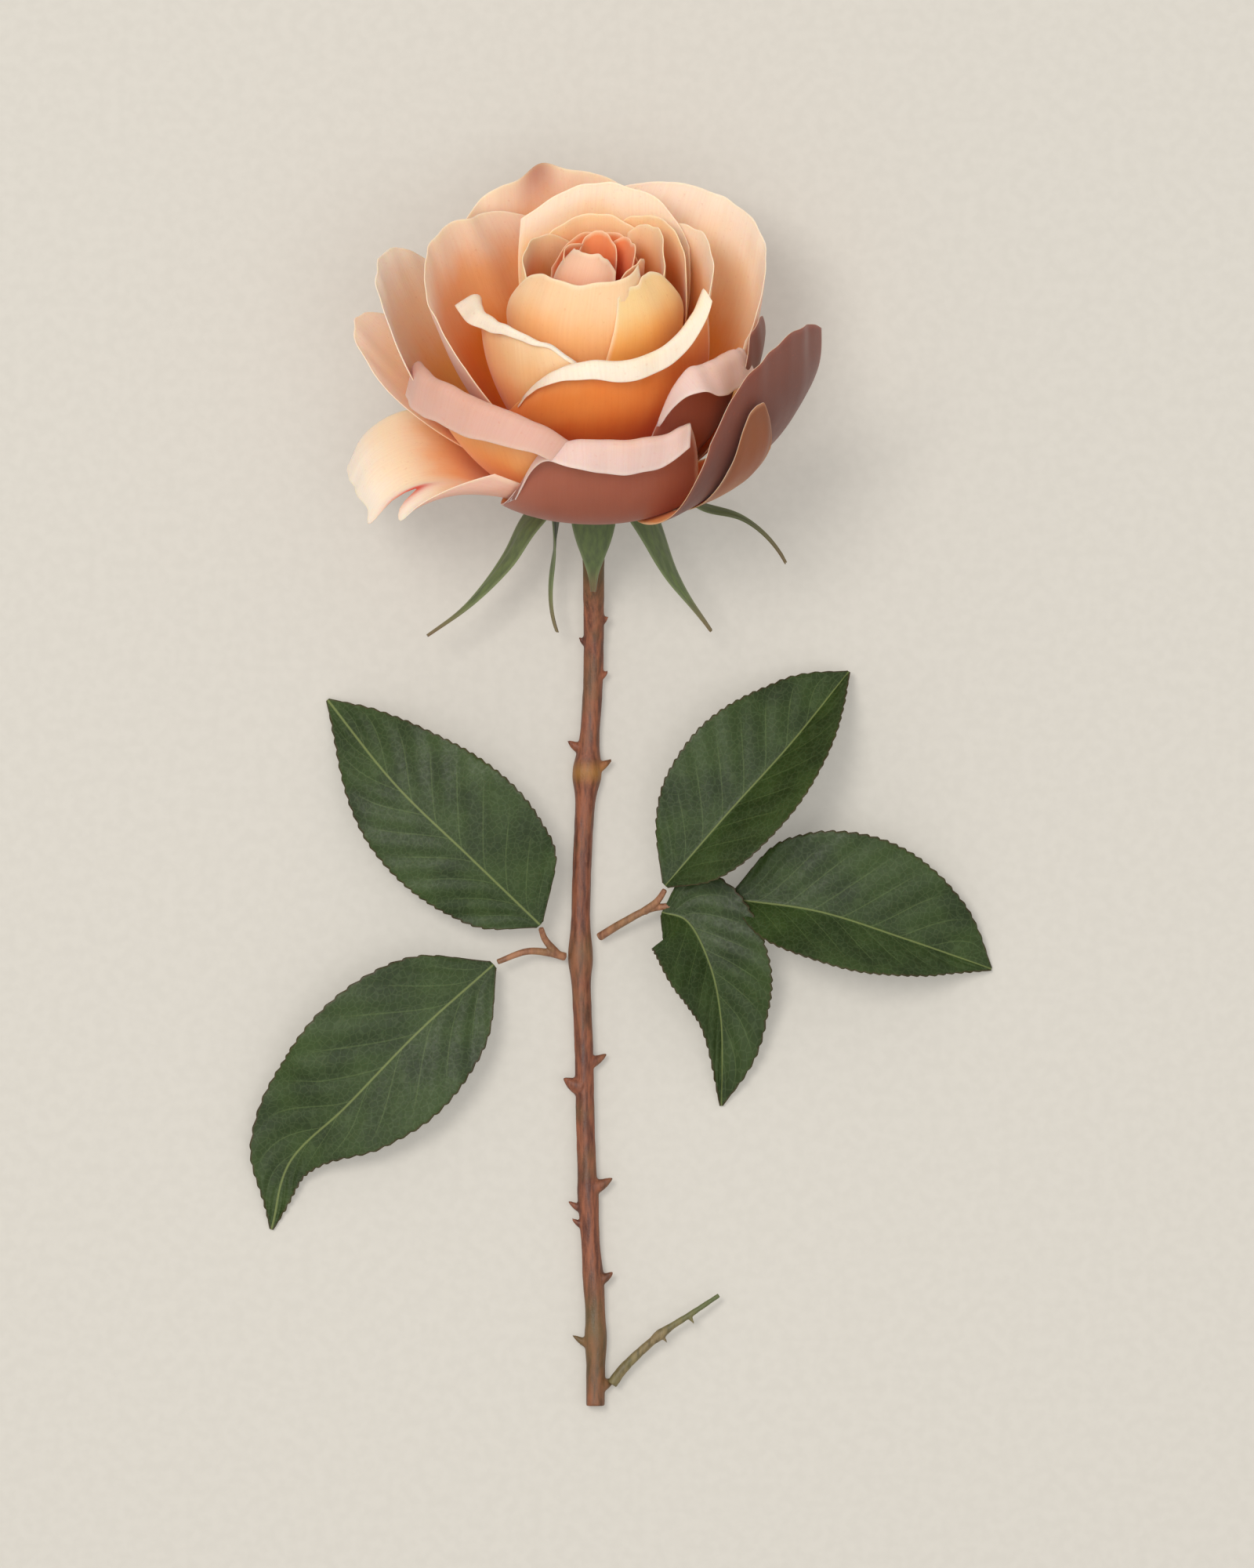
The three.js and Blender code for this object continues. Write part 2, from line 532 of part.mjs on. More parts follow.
const stemRadius = (extra) => (t) =>
  STEM_RADIUS + extra + 0.45 * (1 - t) ** 6 + swellAt(stemLine.getPointAt(t).y);

// The share of the stem's own length at the share `at` of its reach.
function alongStem(at) {
  let [low, high] = [0, 1];
  for (let k = 0; k < 20; k++) {
    const middle = (low + high) / 2;
    if (stemLine.getPointAt(middle).y > -at * STEM_REACH) low = middle;
    else high = middle;
  }
  return low;
}

// Points given in x and y from a place on the stem, and in z from the surface.
function fromJoint(points, at) {
  const joint = stemLine.getPointAt(alongStem(at));
  return points.map(([x, y, z]) => V(joint.x + x, joint.y + y, z));
}

function thorn(root, direction, long, wide) {
  const tip = root.clone().addScaledVector(direction, long);
  return solidOf(rod([root, root.clone().lerp(tip, 0.6), tip], (t) => lerp(wide, 0.25, t), 3, 6));
}

let stem = solidOf(rod(stemPoints, stemRadius(0), 44));
for (const { at, round, long, wide } of PRICKLES) {
  const t = alongStem(at);
  const outward = V(Math.cos(degToRad(round)), 0.35, Math.sin(degToRad(round))).normalize();
  const depth = stemRadius(0)(t) * 0.6;
  const root = stemLine.getPointAt(t).addScaledVector(outward, depth);
  stem = stem.add(thorn(root, outward, long + stemRadius(0)(t) - depth, wide));
}
add(greenery, "stem", BARK, stem, solidOf(rod(stemPoints, stemRadius(CLEARANCE), 44)));

// ---- The side shoot and leaves ----
const shootPoints = fromJoint(SHOOT, SHOOT_AT);
const shootLine = new THREE.CatmullRomCurve3(shootPoints, false, "centripetal");
const shootRadius = (t) => SHOOT_RADIUS * (1 - 0.6 * t) + 0.35 * Math.exp(-(((t - SHOOT_NODE) / 0.05) ** 2));
let shoot = solidOf(rod(shootPoints, shootRadius, 20, 8));
for (const { at, long } of SHOOT_PRICKLES) {
  const outward = shootLine.getTangentAt(at).cross(V(0, 0, 1)).normalize();
  shoot = shoot.add(thorn(shootLine.getPointAt(at), outward, long, SHOOT_RADIUS * 0.6));
}
add(greenery, "side_shoot", SHOOT_BARK, shoot, shoot);

for (const { at, rachis, stalks } of LEAVES) {
  const rods = (extra) =>
    stalks
      .map((points) => solidOf(rod(fromJoint(points, at), () => RACHIS_RADIUS + extra, 8, 8)))
      .reduce((a, b) => a.add(b));
  add(greenery, rachis, LEAF_GREEN, rods(0), rods(CLEARANCE));
}
for (const { at, leaflets } of LEAVES)
  for (const leaflet of leaflets) {
    const surface = leafletSurface(leaflet, at);
    const grid = { across: 4, along: 2 * LEAF_TEETH };
    addSheet(greenery, { name: leaflet.name, tone: LEAF_GREEN, surface, grid }, LEAF_THICKNESS);
  }

// ---- Placing: the middle of the bounding box on the origin, the lowest point on the surface ----
const rose = new THREE.Group();
rose.name = "cut_rose";
rose.add(bloom, greenery);
for (const { group, name, tone, solid } of pieces) {
  const geometry = geometryFrom(solid).applyMatrix4(group.matrix.clone().invert());
  const mesh = new THREE.Mesh(geometry, new THREE.MeshStandardMaterial({ ...tone, metalness: 0 }));
  mesh.name = name;
  group.add(mesh);
}
const bounds = new THREE.Box3().setFromObject(rose, true);
const middle = bounds.getCenter(V(0, 0, 0));
rose.position.set(-middle.x, -middle.y, -bounds.min.z);

export default rose;
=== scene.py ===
"""A cut rose lying on a pale floor, seen from straight above. Lengths in the tables are millimetres."""
import math

import bpy
import numpy as np
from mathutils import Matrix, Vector


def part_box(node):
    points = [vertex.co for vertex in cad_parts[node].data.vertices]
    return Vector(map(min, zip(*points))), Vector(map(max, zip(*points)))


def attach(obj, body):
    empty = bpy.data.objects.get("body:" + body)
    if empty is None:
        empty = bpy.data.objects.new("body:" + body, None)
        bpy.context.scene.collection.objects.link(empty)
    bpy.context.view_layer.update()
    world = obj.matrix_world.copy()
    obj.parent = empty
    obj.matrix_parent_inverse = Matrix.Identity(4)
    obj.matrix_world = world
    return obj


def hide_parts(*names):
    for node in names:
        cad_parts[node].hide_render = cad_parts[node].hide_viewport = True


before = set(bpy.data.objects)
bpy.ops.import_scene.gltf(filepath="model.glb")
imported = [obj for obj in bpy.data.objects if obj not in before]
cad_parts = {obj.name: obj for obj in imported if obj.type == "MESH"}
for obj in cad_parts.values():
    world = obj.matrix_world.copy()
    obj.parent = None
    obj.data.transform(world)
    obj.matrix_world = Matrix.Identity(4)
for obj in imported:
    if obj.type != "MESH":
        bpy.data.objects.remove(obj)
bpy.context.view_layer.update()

MM = 0.001

# ---- Sizes shared with the CAD model, in millimetres ----
HEAD_TILT = math.radians(36)  # how far the bloom's axis rises above the surface
CLEARANCE = 0.3
PETAL_CAD_THICKNESS = 0.6
HIP_RADIUS = 6.9
HIP_LENGTH = 12
CONE_HEIGHT = 10.4
CONE_TOP_RADIUS = 1.2
STEM_RADIUS = 2.05
STEM_REACH = 203
SHOOT_RADIUS = 1.2
RACHIS_RADIUS = 0.95
LAYERS = 14

# ---- Fine sizes ----
PETAL_THICKNESS = 0.42
LEAF_THICKNESS = 0.4
SEPAL_THICKNESS = 0.6

TAU = 2 * math.pi


def unit(v):
    return v / np.maximum(np.linalg.norm(v, axis=-1, keepdims=True), 1e-12)


def smooth(x, low=0.0, high=1.0):
    t = np.clip((x - low) / (high - low), 0, 1)
    return t * t * (3 - 2 * t)


def catmull(points, t):
    """Points at t, from 0 to 1, along a centripetal Catmull-Rom curve."""
    p = np.asarray(points, float)
    p = np.vstack([2 * p[0] - p[1], p, 2 * p[-1] - p[-2]])
    x = np.clip(np.asarray(t, float), 0, 1) * (len(p) - 3)
    i = np.minimum(x.astype(int), len(p) - 4)
    f = (x - i)[..., None]
    a, b, c, d = p[i], p[i + 1], p[i + 2], p[i + 3]
    knot = lambda m, n: np.maximum(np.linalg.norm(m - n, axis=-1, keepdims=True), 1e-9) ** 0.5
    d0, d1, d2 = knot(a, b), knot(b, c), knot(c, d)
    m1 = ((b - a) / d0 - (c - a) / (d0 + d1) + (c - b) / d1) * d1
    m2 = ((c - b) / d1 - (d - b) / (d1 + d2) + (d - c) / d2) * d1
    return b + m1 * f + (3 * (c - b) - 2 * m1 - m2) * f**2 + (2 * (b - c) + m1 + m2) * f**3


def evenly(points, steps):
    fine = catmull(points, np.linspace(0, 1, 401))
    run = np.concatenate([[0], np.cumsum(np.linalg.norm(np.diff(fine, axis=0), axis=1))])
    want = np.linspace(0, run[-1], steps + 1)
    return np.stack([np.interp(want, run, fine[:, k]) for k in range(fine.shape[1])], 1)


def station(values, t):
    """A value at t along a list of evenly spaced stations."""
    p = np.asarray(values, float)
    p = np.concatenate([[2 * p[0] - p[1]], p, [2 * p[-1] - p[-2]]])
    x = np.clip(t, 0, 1) * (len(p) - 3)
    i = np.minimum(x.astype(int), len(p) - 4)
    f = x - i
    before, a, b, after = p[i], p[i + 1], p[i + 2], p[i + 3]
    m1, m2 = (b - before) / 2, (after - a) / 2
    leaving = a * (1 + 2 * f) * (1 - f) ** 2 + m1 * f * (1 - f) ** 2
    return leaving + b * f * f * (3 - 2 * f) - m2 * f * f * (1 - f)


def ripple(x, seed, octaves=3):
    """A smooth uneven wave of x, about -1 to 1."""
    total = 0
    for k in range(octaves):
        total = total + np.sin(x * (1.0 + 0.83 * k) + seed * (2.3 + 1.7 * k) + 1.1 * k) / (1 + 0.6 * k)
    return total / (1 + 1 / 1.6 + 1 / 2.2)


# ---- Meshes ----
def make_object(name, verts, faces, material, node, attributes=None):
    mesh = bpy.data.meshes.new(name)
    mesh.from_pydata((np.asarray(verts) * MM).tolist(), [], faces)
    mesh.update()
    mesh.shade_smooth()
    for key, values in (attributes or {}).items():
        layer = mesh.attributes.new(key, "FLOAT_VECTOR", "POINT")
        layer.data.foreach_set("vector", np.asarray(values, np.float32).ravel())
    piece = bpy.data.objects.new(name, mesh)
    bpy.context.collection.objects.link(piece)
    mesh.materials.append(material)
    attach(piece, "root")
    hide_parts(node)
    return piece


def sheet_mesh(grid, thickness, extra):
    """A closed sheet round a grid of points. `thickness` and each of `extra` are grids as well."""
    rows, cols = grid.shape[:2]
    across = np.gradient(grid, axis=1)
    along = np.gradient(grid, axis=0)
    normal = unit(np.cross(across, along))
    half = thickness[..., None] / 2
    front = (grid + normal * half).reshape(-1, 3)
    back = (grid - normal * half).reshape(-1, 3)
    index = np.arange(rows * cols).reshape(rows, cols)
    n = rows * cols
    a, b, c, d = index[:-1, :-1], index[:-1, 1:], index[1:, 1:], index[1:, :-1]
    faces = np.stack([a, b, c, d], -1).reshape(-1, 4).tolist()
    faces += (np.stack([d, c, b, a], -1).reshape(-1, 4) + n).tolist()
    border = np.concatenate([index[0, :-1], index[:-1, -1], index[-1, :0:-1], index[:0:-1, 0]])
    outward = np.zeros_like(grid)
    outward[0] -= unit(along)[0]
    outward[-1] += unit(along)[-1]
    outward[:, 0] -= unit(across)[:, 0]
    outward[:, -1] += unit(across)[:, -1]
    rim = (grid + unit(outward) * half * 0.9).reshape(-1, 3)[border]
    count = len(border)
    for k in range(count):
        m = (k + 1) % count
        p, q = int(border[k]), int(border[m])
        faces.append([p, 2 * n + k, 2 * n + m, q])
        faces.append([2 * n + k, n + p, n + q, 2 * n + m])
    values = {}
    for key, (on_front, on_back) in extra.items():
        f, g = on_front.reshape(-1, 3), on_back.reshape(-1, 3)
        values[key] = np.vstack([f, g, (f[border] + g[border]) / 2])
    return np.vstack([front, back, rim]), faces, values, normal


def rod_mesh(points, radius, steps, sides, lump=None):
    """A closed round rod along a curve. radius(t) gives its radius, lump(t, angle) an extra on it."""
    line = evenly(points, steps)
    tangent = unit(np.gradient(line, axis=0))
    normal = np.array([0.0, 0.0, 1.0])
    rings = []
    for k in range(steps + 1):
        normal = unit(normal - tangent[k] * normal.dot(tangent[k]))
        side = np.cross(tangent[k], normal)
        angle = np.arange(sides) * TAU / sides
        t = k / steps
        r = np.full(sides, radius(t)) + (lump(t, angle) if lump else 0)
        rings.append(line[k] + np.outer(r * np.cos(angle), normal) + np.outer(r * np.sin(angle), side))
    verts = np.vstack([np.concatenate(rings), line[:1], line[-1:]])
    faces = []
    for k in range(steps):
        for s in range(sides):
            t = (s + 1) % sides
            faces.append([k * sides + s, k * sides + t, (k + 1) * sides + t, (k + 1) * sides + s])
    first, last = len(verts) - 2, len(verts) - 1
    for s in range(sides):
        t = (s + 1) % sides
        faces.append([first, t, s])
        faces.append([last, steps * sides + s, steps * sides + t])
    return verts, faces


# ---- Where the CAD model's pieces are ----
def tilted(points):
    """From the bloom's frame to the rose's, before it is moved into place."""
    x, y, z = np.moveaxis(np.asarray(points, float), -1, 0)
    s, c = math.sin(HEAD_TILT), math.cos(HEAD_TILT)
    return np.stack([x, s * y + c * z, -c * y + s * z], -1)


def lathe_points(profile, sides):
    angle = np.arange(sides) * TAU / sides
    return np.array([[r * math.sin(a), -r * math.cos(a), h] for r, h in profile for a in angle])


HIP_PROFILE = [
    (0, -HIP_LENGTH), (STEM_RADIUS * 1.15, -HIP_LENGTH), (HIP_RADIUS * 0.62, -HIP_LENGTH * 0.72),
    (HIP_RADIUS * 0.85, -HIP_LENGTH * 0.4), (HIP_RADIUS * 0.86, -HIP_LENGTH * 0.18), (HIP_RADIUS, 0),
    (CONE_TOP_RADIUS, CONE_HEIGHT), (0, CONE_HEIGHT + 0.4),
]
hip_low, hip_high = (np.array(corner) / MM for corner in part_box("hip"))
hip_here = tilted(lathe_points(HIP_PROFILE, 18))
PLACE = (hip_low + hip_high) / 2 - (hip_here.min(0) + hip_here.max(0)) / 2
LIFT = PLACE[2]  # height of the bloom's base above the surface
PLACE_XY = PLACE * [1, 1, 0]

# ---- Petals ----
# az, layer, line, half, roll, start, curl, drop, rise, point, wrap, flare and notch [(u, share, width)] are
# as in the CAD model, but for guard_petal_right, which is wider here and a little further to the front.
# Only here: skin (a material), ruffle (mm at the rim), crease [(u, depth, width)] and stain [(u, v, width,
# length, kind)], whose kind is 0 for red and 1 for brown. u runs across the petal and v from foot to rim.
PETALS = [
    dict(
        name="heart_petal_front", skin="dome", az=-115, layer=0,
        line=[(4, 22), (7.5, 40), (8.5, 53), (3, 60)], half=9, drop=0.1,
    ),
    dict(
        name="heart_petal_back", skin="heart", az=70, layer=0, line=[(3, 22), (4, 42), (6, 60)], half=6,
        drop=0.1, ruffle=2.5,
    ),
    dict(
        name="heart_petal_curl", skin="heart", az=20, layer=1, line=[(4, 20), (7, 42), (9, 59)], half=8,
        drop=0.1, ruffle=2,
    ),
    dict(
        name="heart_petal_left", skin="heart", az=150, layer=2, line=[(6, 20), (8.5, 40), (6, 58)],
        half=9, drop=0.1, ruffle=1.6,
    ),
    dict(
        name="heart_petal_right", skin="heart", az=-35, layer=2, line=[(6, 20), (10, 40), (11.5, 60)],
        half=8, drop=0.1, ruffle=2,
    ),
    dict(
        name="heart_petal_fold", skin="heart", az=80, layer=3, line=[(7, 20), (11, 40), (12, 56)],
        half=13, drop=0.14, ruffle=1.2,
    ),
    dict(
        name="bud_petal_left", skin="bud", az=163, layer=4, line=[(10, 18), (15, 40), (15, 57)], half=18,
        drop=0.16,
    ),
    dict(
        name="bud_petal_right", skin="bud", az=22, layer=4, line=[(10, 18), (14.5, 40), (15.5, 60)],
        half=11, drop=0.1, ruffle=1,
    ),
    dict(
        name="bud_front_left", skin="bud_pale", az=-122, layer=5,
        line=[(11, 17), (17.6, 36), (17.6, 50), (13, 58.7)], half=23, drop=(0.3, -0.03), widths="bud",
    ),
    dict(
        name="bud_petal_back", skin="bud", az=88, layer=5, line=[(11, 17), (16, 38), (17, 57)], half=15,
        drop=0.12,
    ),
    dict(
        name="bud_front_right", skin="bud", az=-34, layer=6,
        line=[(12.5, 16), (18.8, 36), (18.8, 49), (14, 58)], half=17, drop=(0.04, 0.26), widths="hood",
    ),
    dict(
        name="bud_petal_far_right", skin="bud", az=40, layer=7, line=[(13, 17), (19.6, 38), (20, 58)],
        half=15, drop=0.14,
    ),
    dict(
        name="cup_petal_left", skin="pale", az=222, layer=7, line=[(15, 14), (23, 32), (24.5, 53)],
        half=21, roll=(110, 150, 130), start=(0.86, 0.94, 0.985), curl=0.6, drop=(0.02, 0.12),
        widths="bud",
    ),
    dict(
        name="cup_petal_back", skin="cup", az=78, layer=7, line=[(16, 17), (22, 36), (26, 59)], half=21,
        drop=0.14, flare=(0, 4),
    ),
    dict(
        name="cup_petal_front", skin="cup", az=-78, layer=8, line=[(17, 14), (25, 30), (26, 53)], half=28,
        roll=(90, 150, 120), start=(0.985, 0.89, 0.93), curl=0.5, drop=(0.36, -0.14), widths="bud",
    ),
    dict(
        name="cup_petal_right", skin="pale", az=22, layer=8, line=[(17, 16), (23.5, 36), (26, 56)],
        half=16, drop=0.1,
    ),
    dict(
        name="cup_petal_far_left", skin="fan_deep", az=158, layer=9, line=[(20, 15), (30, 32), (37, 53)],
        half=36, drop=0.2, crease=[(-0.35, 2, 0.12)],
    ),
    dict(
        name="outer_petal_back_left", skin="fan_deep", az=106, layer=10,
        line=[(23, 16), (34, 34), (41, 55)], half=28, drop=0.16, point=0.03,
        stain=[(0.05, 1.0, 0.16, 0.1, 1)],
    ),
    dict(
        name="outer_petal_back_right", skin="fan", az=40, layer=10, line=[(24, 15), (34, 33), (40, 54)],
        half=36, drop=(0.22, 0.12), flare=(-3, 0),
    ),
    dict(
        name="outer_petal_front_right", skin="rolled", az=-44, layer=10,
        line=[(22, 11), (31, 26), (33.5, 55)], half=14.5, roll=(60, 150, 140), start=(0.97, 0.83, 0.86),
        curl=0.5, drop=(0.32, 0.1), widths="bud",
    ),
    dict(
        name="outer_petal_front_left", skin="rolled_light", az=229, layer=10,
        line=[(22, 7), (33, 20), (38, 36), (39, 51)], half=28, roll=(150, 155, 120),
        start=(0.84, 0.82, 0.9), curl=0.5, drop=(0.14, 0.22), widths="bud",
    ),
    dict(
        name="outer_petal_left", skin="fan", az=172, layer=11, line=[(25, 12), (39, 30), (47, 51)],
        half=22, drop=0.2, stain=[(0.85, 0.8, 0.22, 0.1, 0)],
    ),
    dict(
        name="outer_petal_right", skin="shade", az=-15, layer=11,
        line=[(24, 11), (34, 26), (37, 38), (36.5, 46.5)], half=11, drop=0.16,
    ),
    dict(
        name="guard_petal_low_right", skin="ochre_painted_shade", az=-45, layer=13,
        line=[(25, 6), (40, 15), (48.5, 29), (50, 43)], half=7, drop=0.24,
    ),
    dict(
        name="guard_petal_right", skin="shade", az=-34, layer=12,
        line=[(23, 5), (38, 15), (46, 31), (48, 53)], half=23, drop=(0.2, 0.12), wrap=1.9,
    ),
    dict(
        name="guard_petal_left", skin="guard", az=174, layer=12, line=[(26, 12), (42, 25), (52, 36)],
        half=15, drop=0.18,
    ),
    dict(
        name="guard_petal_front", skin="rolled", az=-88, layer=12,
        line=[(20, 4), (31, 9), (36.5, 20), (37.8, 44)], half=23, roll=(40, 150, 140),
        start=(0.98, 0.84, 0.88), curl=0.5, drop=(0.46, 0.04), widths="bud",
    ),
    dict(
        name="guard_petal_low_left", skin="guard", az=203, layer=13,
        line=[(20, 3), (33, 11), (43, 13), (50, 10), (53, 5)], half=24.5, drop=(-0.02, 0.34),
        rise=(-3, 10), notch=[(0.34, 0.2, 0.11), (0.12, -0.04, 0.08), (0.6, -0.06, 0.1)],
        stain=[(0.34, 1.0, 0.12, 0.08, 0)],
    ),
    dict(
        name="guard_petal_back_left", skin="guard", az=122, layer=13, line=[(24, 7), (39, 20), (46, 40)],
        half=24, drop=0.2,
    ),
    dict(
        name="guard_petal_back_right", skin="guard", az=62, layer=13, line=[(24, 7), (39, 20), (46, 40)],
        half=24, drop=0.2,
    ),
]
WIDTHS = {
    "petal": [0.09, 0.42, 0.74, 0.93, 1, 1, 0.93],
    "bud": [0.09, 0.45, 0.8, 0.97, 1, 0.95, 0.8],
    "hood": [0.09, 0.45, 0.8, 0.97, 1, 0.86, 0.55],
    "sepal": [0.9, 1, 0.8, 0.5, 0.22, 0.1],
}
LINE_STEPS = 60
SEPALS = [
    dict(name="sepal_front", az=-90, line=[(9.2, -9), (8, -18), (7, -26)], half=5.2, swing=0),
    dict(
        name="sepal_left", az=208, line=[(16, -8), (21, -16.4), (29.5, -25.7), (38.9, -32.4)], half=3.4,
        swing=-6,
    ),
    dict(name="sepal_back_left", az=146, line=[(9, -8), (8.6, -20), (12.4, -35)], half=3.6, swing=84),
    dict(name="sepal_right", az=-30, line=[(13.5, -7), (20, -20), (29.6, -31)], half=4.4, swing=0),
    dict(
        name="sepal_back_right", az=42, line=[(16, -6), (25, -14), (33, -14), (43, -16)], half=3.6,
        swing=-56,
    ),
]


def pair(value):
    return value if isinstance(value, tuple) else (value, value)


def across_three(value, u):
    """A value that changes from one edge to the middle to the other, or the same all the way."""
    left, middle, right = value if isinstance(value, tuple) else (value, value, value)
    return middle + (right - left) / 2 * u + ((left + right) / 2 - middle) * u * u


def petal_grid(p, u, v):
    """Points of a petal's middle surface in the bloom's frame, with its distances along and across."""
    share = p["layer"] / (LAYERS - 1)
    off = CLEARANCE + PETAL_CAD_THICKNESS / 2
    foot = (
        CONE_TOP_RADIUS + (HIP_RADIUS - CONE_TOP_RADIUS) * share + off,
        CONE_HEIGHT * (1 - share) + off,
    )
    line = evenly([foot] + list(p["line"]), LINE_STEPS)
    length = np.linalg.norm(np.diff(line, axis=0), axis=1).sum()
    seed = len(p["name"]) + p["az"] * 0.1
    point = p.get("point", 0)
    drop_a, drop_b = pair(p.get("drop", 0.18))
    reach = 1 - np.where(u < 0, drop_a, drop_b) * np.abs(u) ** 2.4 + point * np.exp(-((u / 0.14) ** 2))
    reach = reach / (1 + point)
    reach = reach * (1 + p.get("ragged", 0.008) * ripple(u * 7, seed))
    for place, deep, wide in p.get("notch", []):
        reach = reach * (1 - deep * np.exp(-(((u - place) / wide) ** 2)))
    # Each column is the midline as far as its own reach, bent outwards near its end.
    steps = np.linspace(0, 1, LINE_STEPS + 1)
    s = reach[:, None] * steps[None, :] * LINE_STEPS
    i = np.clip(s.astype(int), 0, LINE_STEPS - 1)
    f = (s - i)[..., None]
    plain = line[i] * (1 - f) + line[i + 1] * f
    bend = np.radians(across_three(p.get("roll", 0), u))[:, None]
    start = across_three(p.get("start", 0.8), u)[:, None]
    past = smooth((steps[:-1] + 0.5 / LINE_STEPS - start) / ((1 - start) * p.get("curl", 1)))
    turn = bend * past
    seg = np.diff(plain, axis=1)
    cos, sin = np.cos(turn), np.sin(turn)
    seg = np.stack([seg[..., 0] * cos + seg[..., 1] * sin, seg[..., 1] * cos - seg[..., 0] * sin], -1)
    bent = np.concatenate([plain[:, :1], plain[:, :1] + np.cumsum(seg, axis=1)], axis=1)
    x = v * LINE_STEPS
    i = np.clip(x.astype(int), 0, LINE_STEPS - 1)
    f = (x - i)[:, None, None]
    plain = plain[:, i].transpose(1, 0, 2) * (1 - f) + plain[:, i + 1].transpose(1, 0, 2) * f
    bent = bent[:, i].transpose(1, 0, 2) * (1 - f) + bent[:, i + 1].transpose(1, 0, 2) * f
    uu, vv = np.meshgrid(u, v)
    width = p["half"] * station(WIDTHS[p.get("widths", "petal")], vv)
    ring = np.maximum(p.get("wrap", 1) * plain[..., 0], width / 2.5)
    angle = width * uu / ring
    flare_a, flare_b = p.get("flare", (0, 0))
    flare = np.where(uu < 0, flare_a, flare_b) * uu * uu * vv**3
    lift = bent[..., 0] - plain[..., 0] + flare
    ruffle = p.get("ruffle", 0.35) * min(1, p["half"] / 20)
    lift = lift + ruffle * vv**6 * ripple(width * uu * 0.4 + vv * 2, seed + 1)
    lift = lift + 0.25 * vv * ripple(uu * 4 + vv * 3, seed + 2)
    for place, deep, wide in p.get("crease", []):
        lift = lift - deep * np.exp(-(((uu - place) / wide) ** 2)) * smooth(vv, 0.2, 0.8)
    az = np.radians(p["az"] + p.get("swing", 0) * vv**1.5)
    rise_a, rise_b = pair(p.get("rise", 0))
    rise = np.where(uu < 0, rise_a, rise_b) * uu * uu * vv * vv
    grid = np.stack([
        np.cos(az) * (plain[..., 0] - ring) + np.cos(az + angle) * (ring + lift),
        np.sin(az) * (plain[..., 0] - ring) + np.sin(az + angle) * (ring + lift),
        bent[..., 1] + rise,
    ], -1)
    down = (1 - vv) * length * reach[None, :]
    edge = np.minimum((1 - np.abs(uu)) * width, down)
    return grid, width * uu, vv * length, edge


def build_petal(p, material, thickness, columns=56, rows=52):
    u = np.linspace(-1, 1, columns + 1)
    v = 1 - (1 - np.linspace(0, 1, rows + 1)) ** 1.25
    grid, across, along, edge = petal_grid(p, u, v)
    grid = tilted(grid) + PLACE
    grid[..., 2] = np.maximum(grid[..., 2], thickness / 2)
    uu, vv = np.meshgrid(u, v)
    thick = thickness * (0.45 + 0.55 * smooth(edge, 0, 3))
    grain = np.stack([across, along, edge], -1)
    outer = np.stack([uu, vv, np.ones_like(uu)], -1)
    inner = np.stack([uu, vv, np.zeros_like(uu)], -1)
    stain = np.zeros_like(grain)
    for at_u, at_v, wide, long, kind in p.get("stain", []):
        stain[..., kind] += np.exp(-(((uu - at_u) / wide) ** 2) - ((vv - at_v) / long) ** 2)
    verts, faces, values, _ = sheet_mesh(
        grid, thick, {"grain": (grain, grain), "tone": (outer, inner), "stain": (stain, stain)}
    )
    return make_object(p["name"] + "_fine", verts, faces, material, p["name"], values)


# ---- Materials ----
def rgb(r, g, b):
    """A colour as it looks, 0 to 255, as the shader wants it."""
    to_linear = lambda c: c / 12.92 if c <= 0.04045 else ((c + 0.055) / 1.055) ** 2.4
    return tuple(to_linear(c / 255) for c in (r, g, b)) + (1.0,)


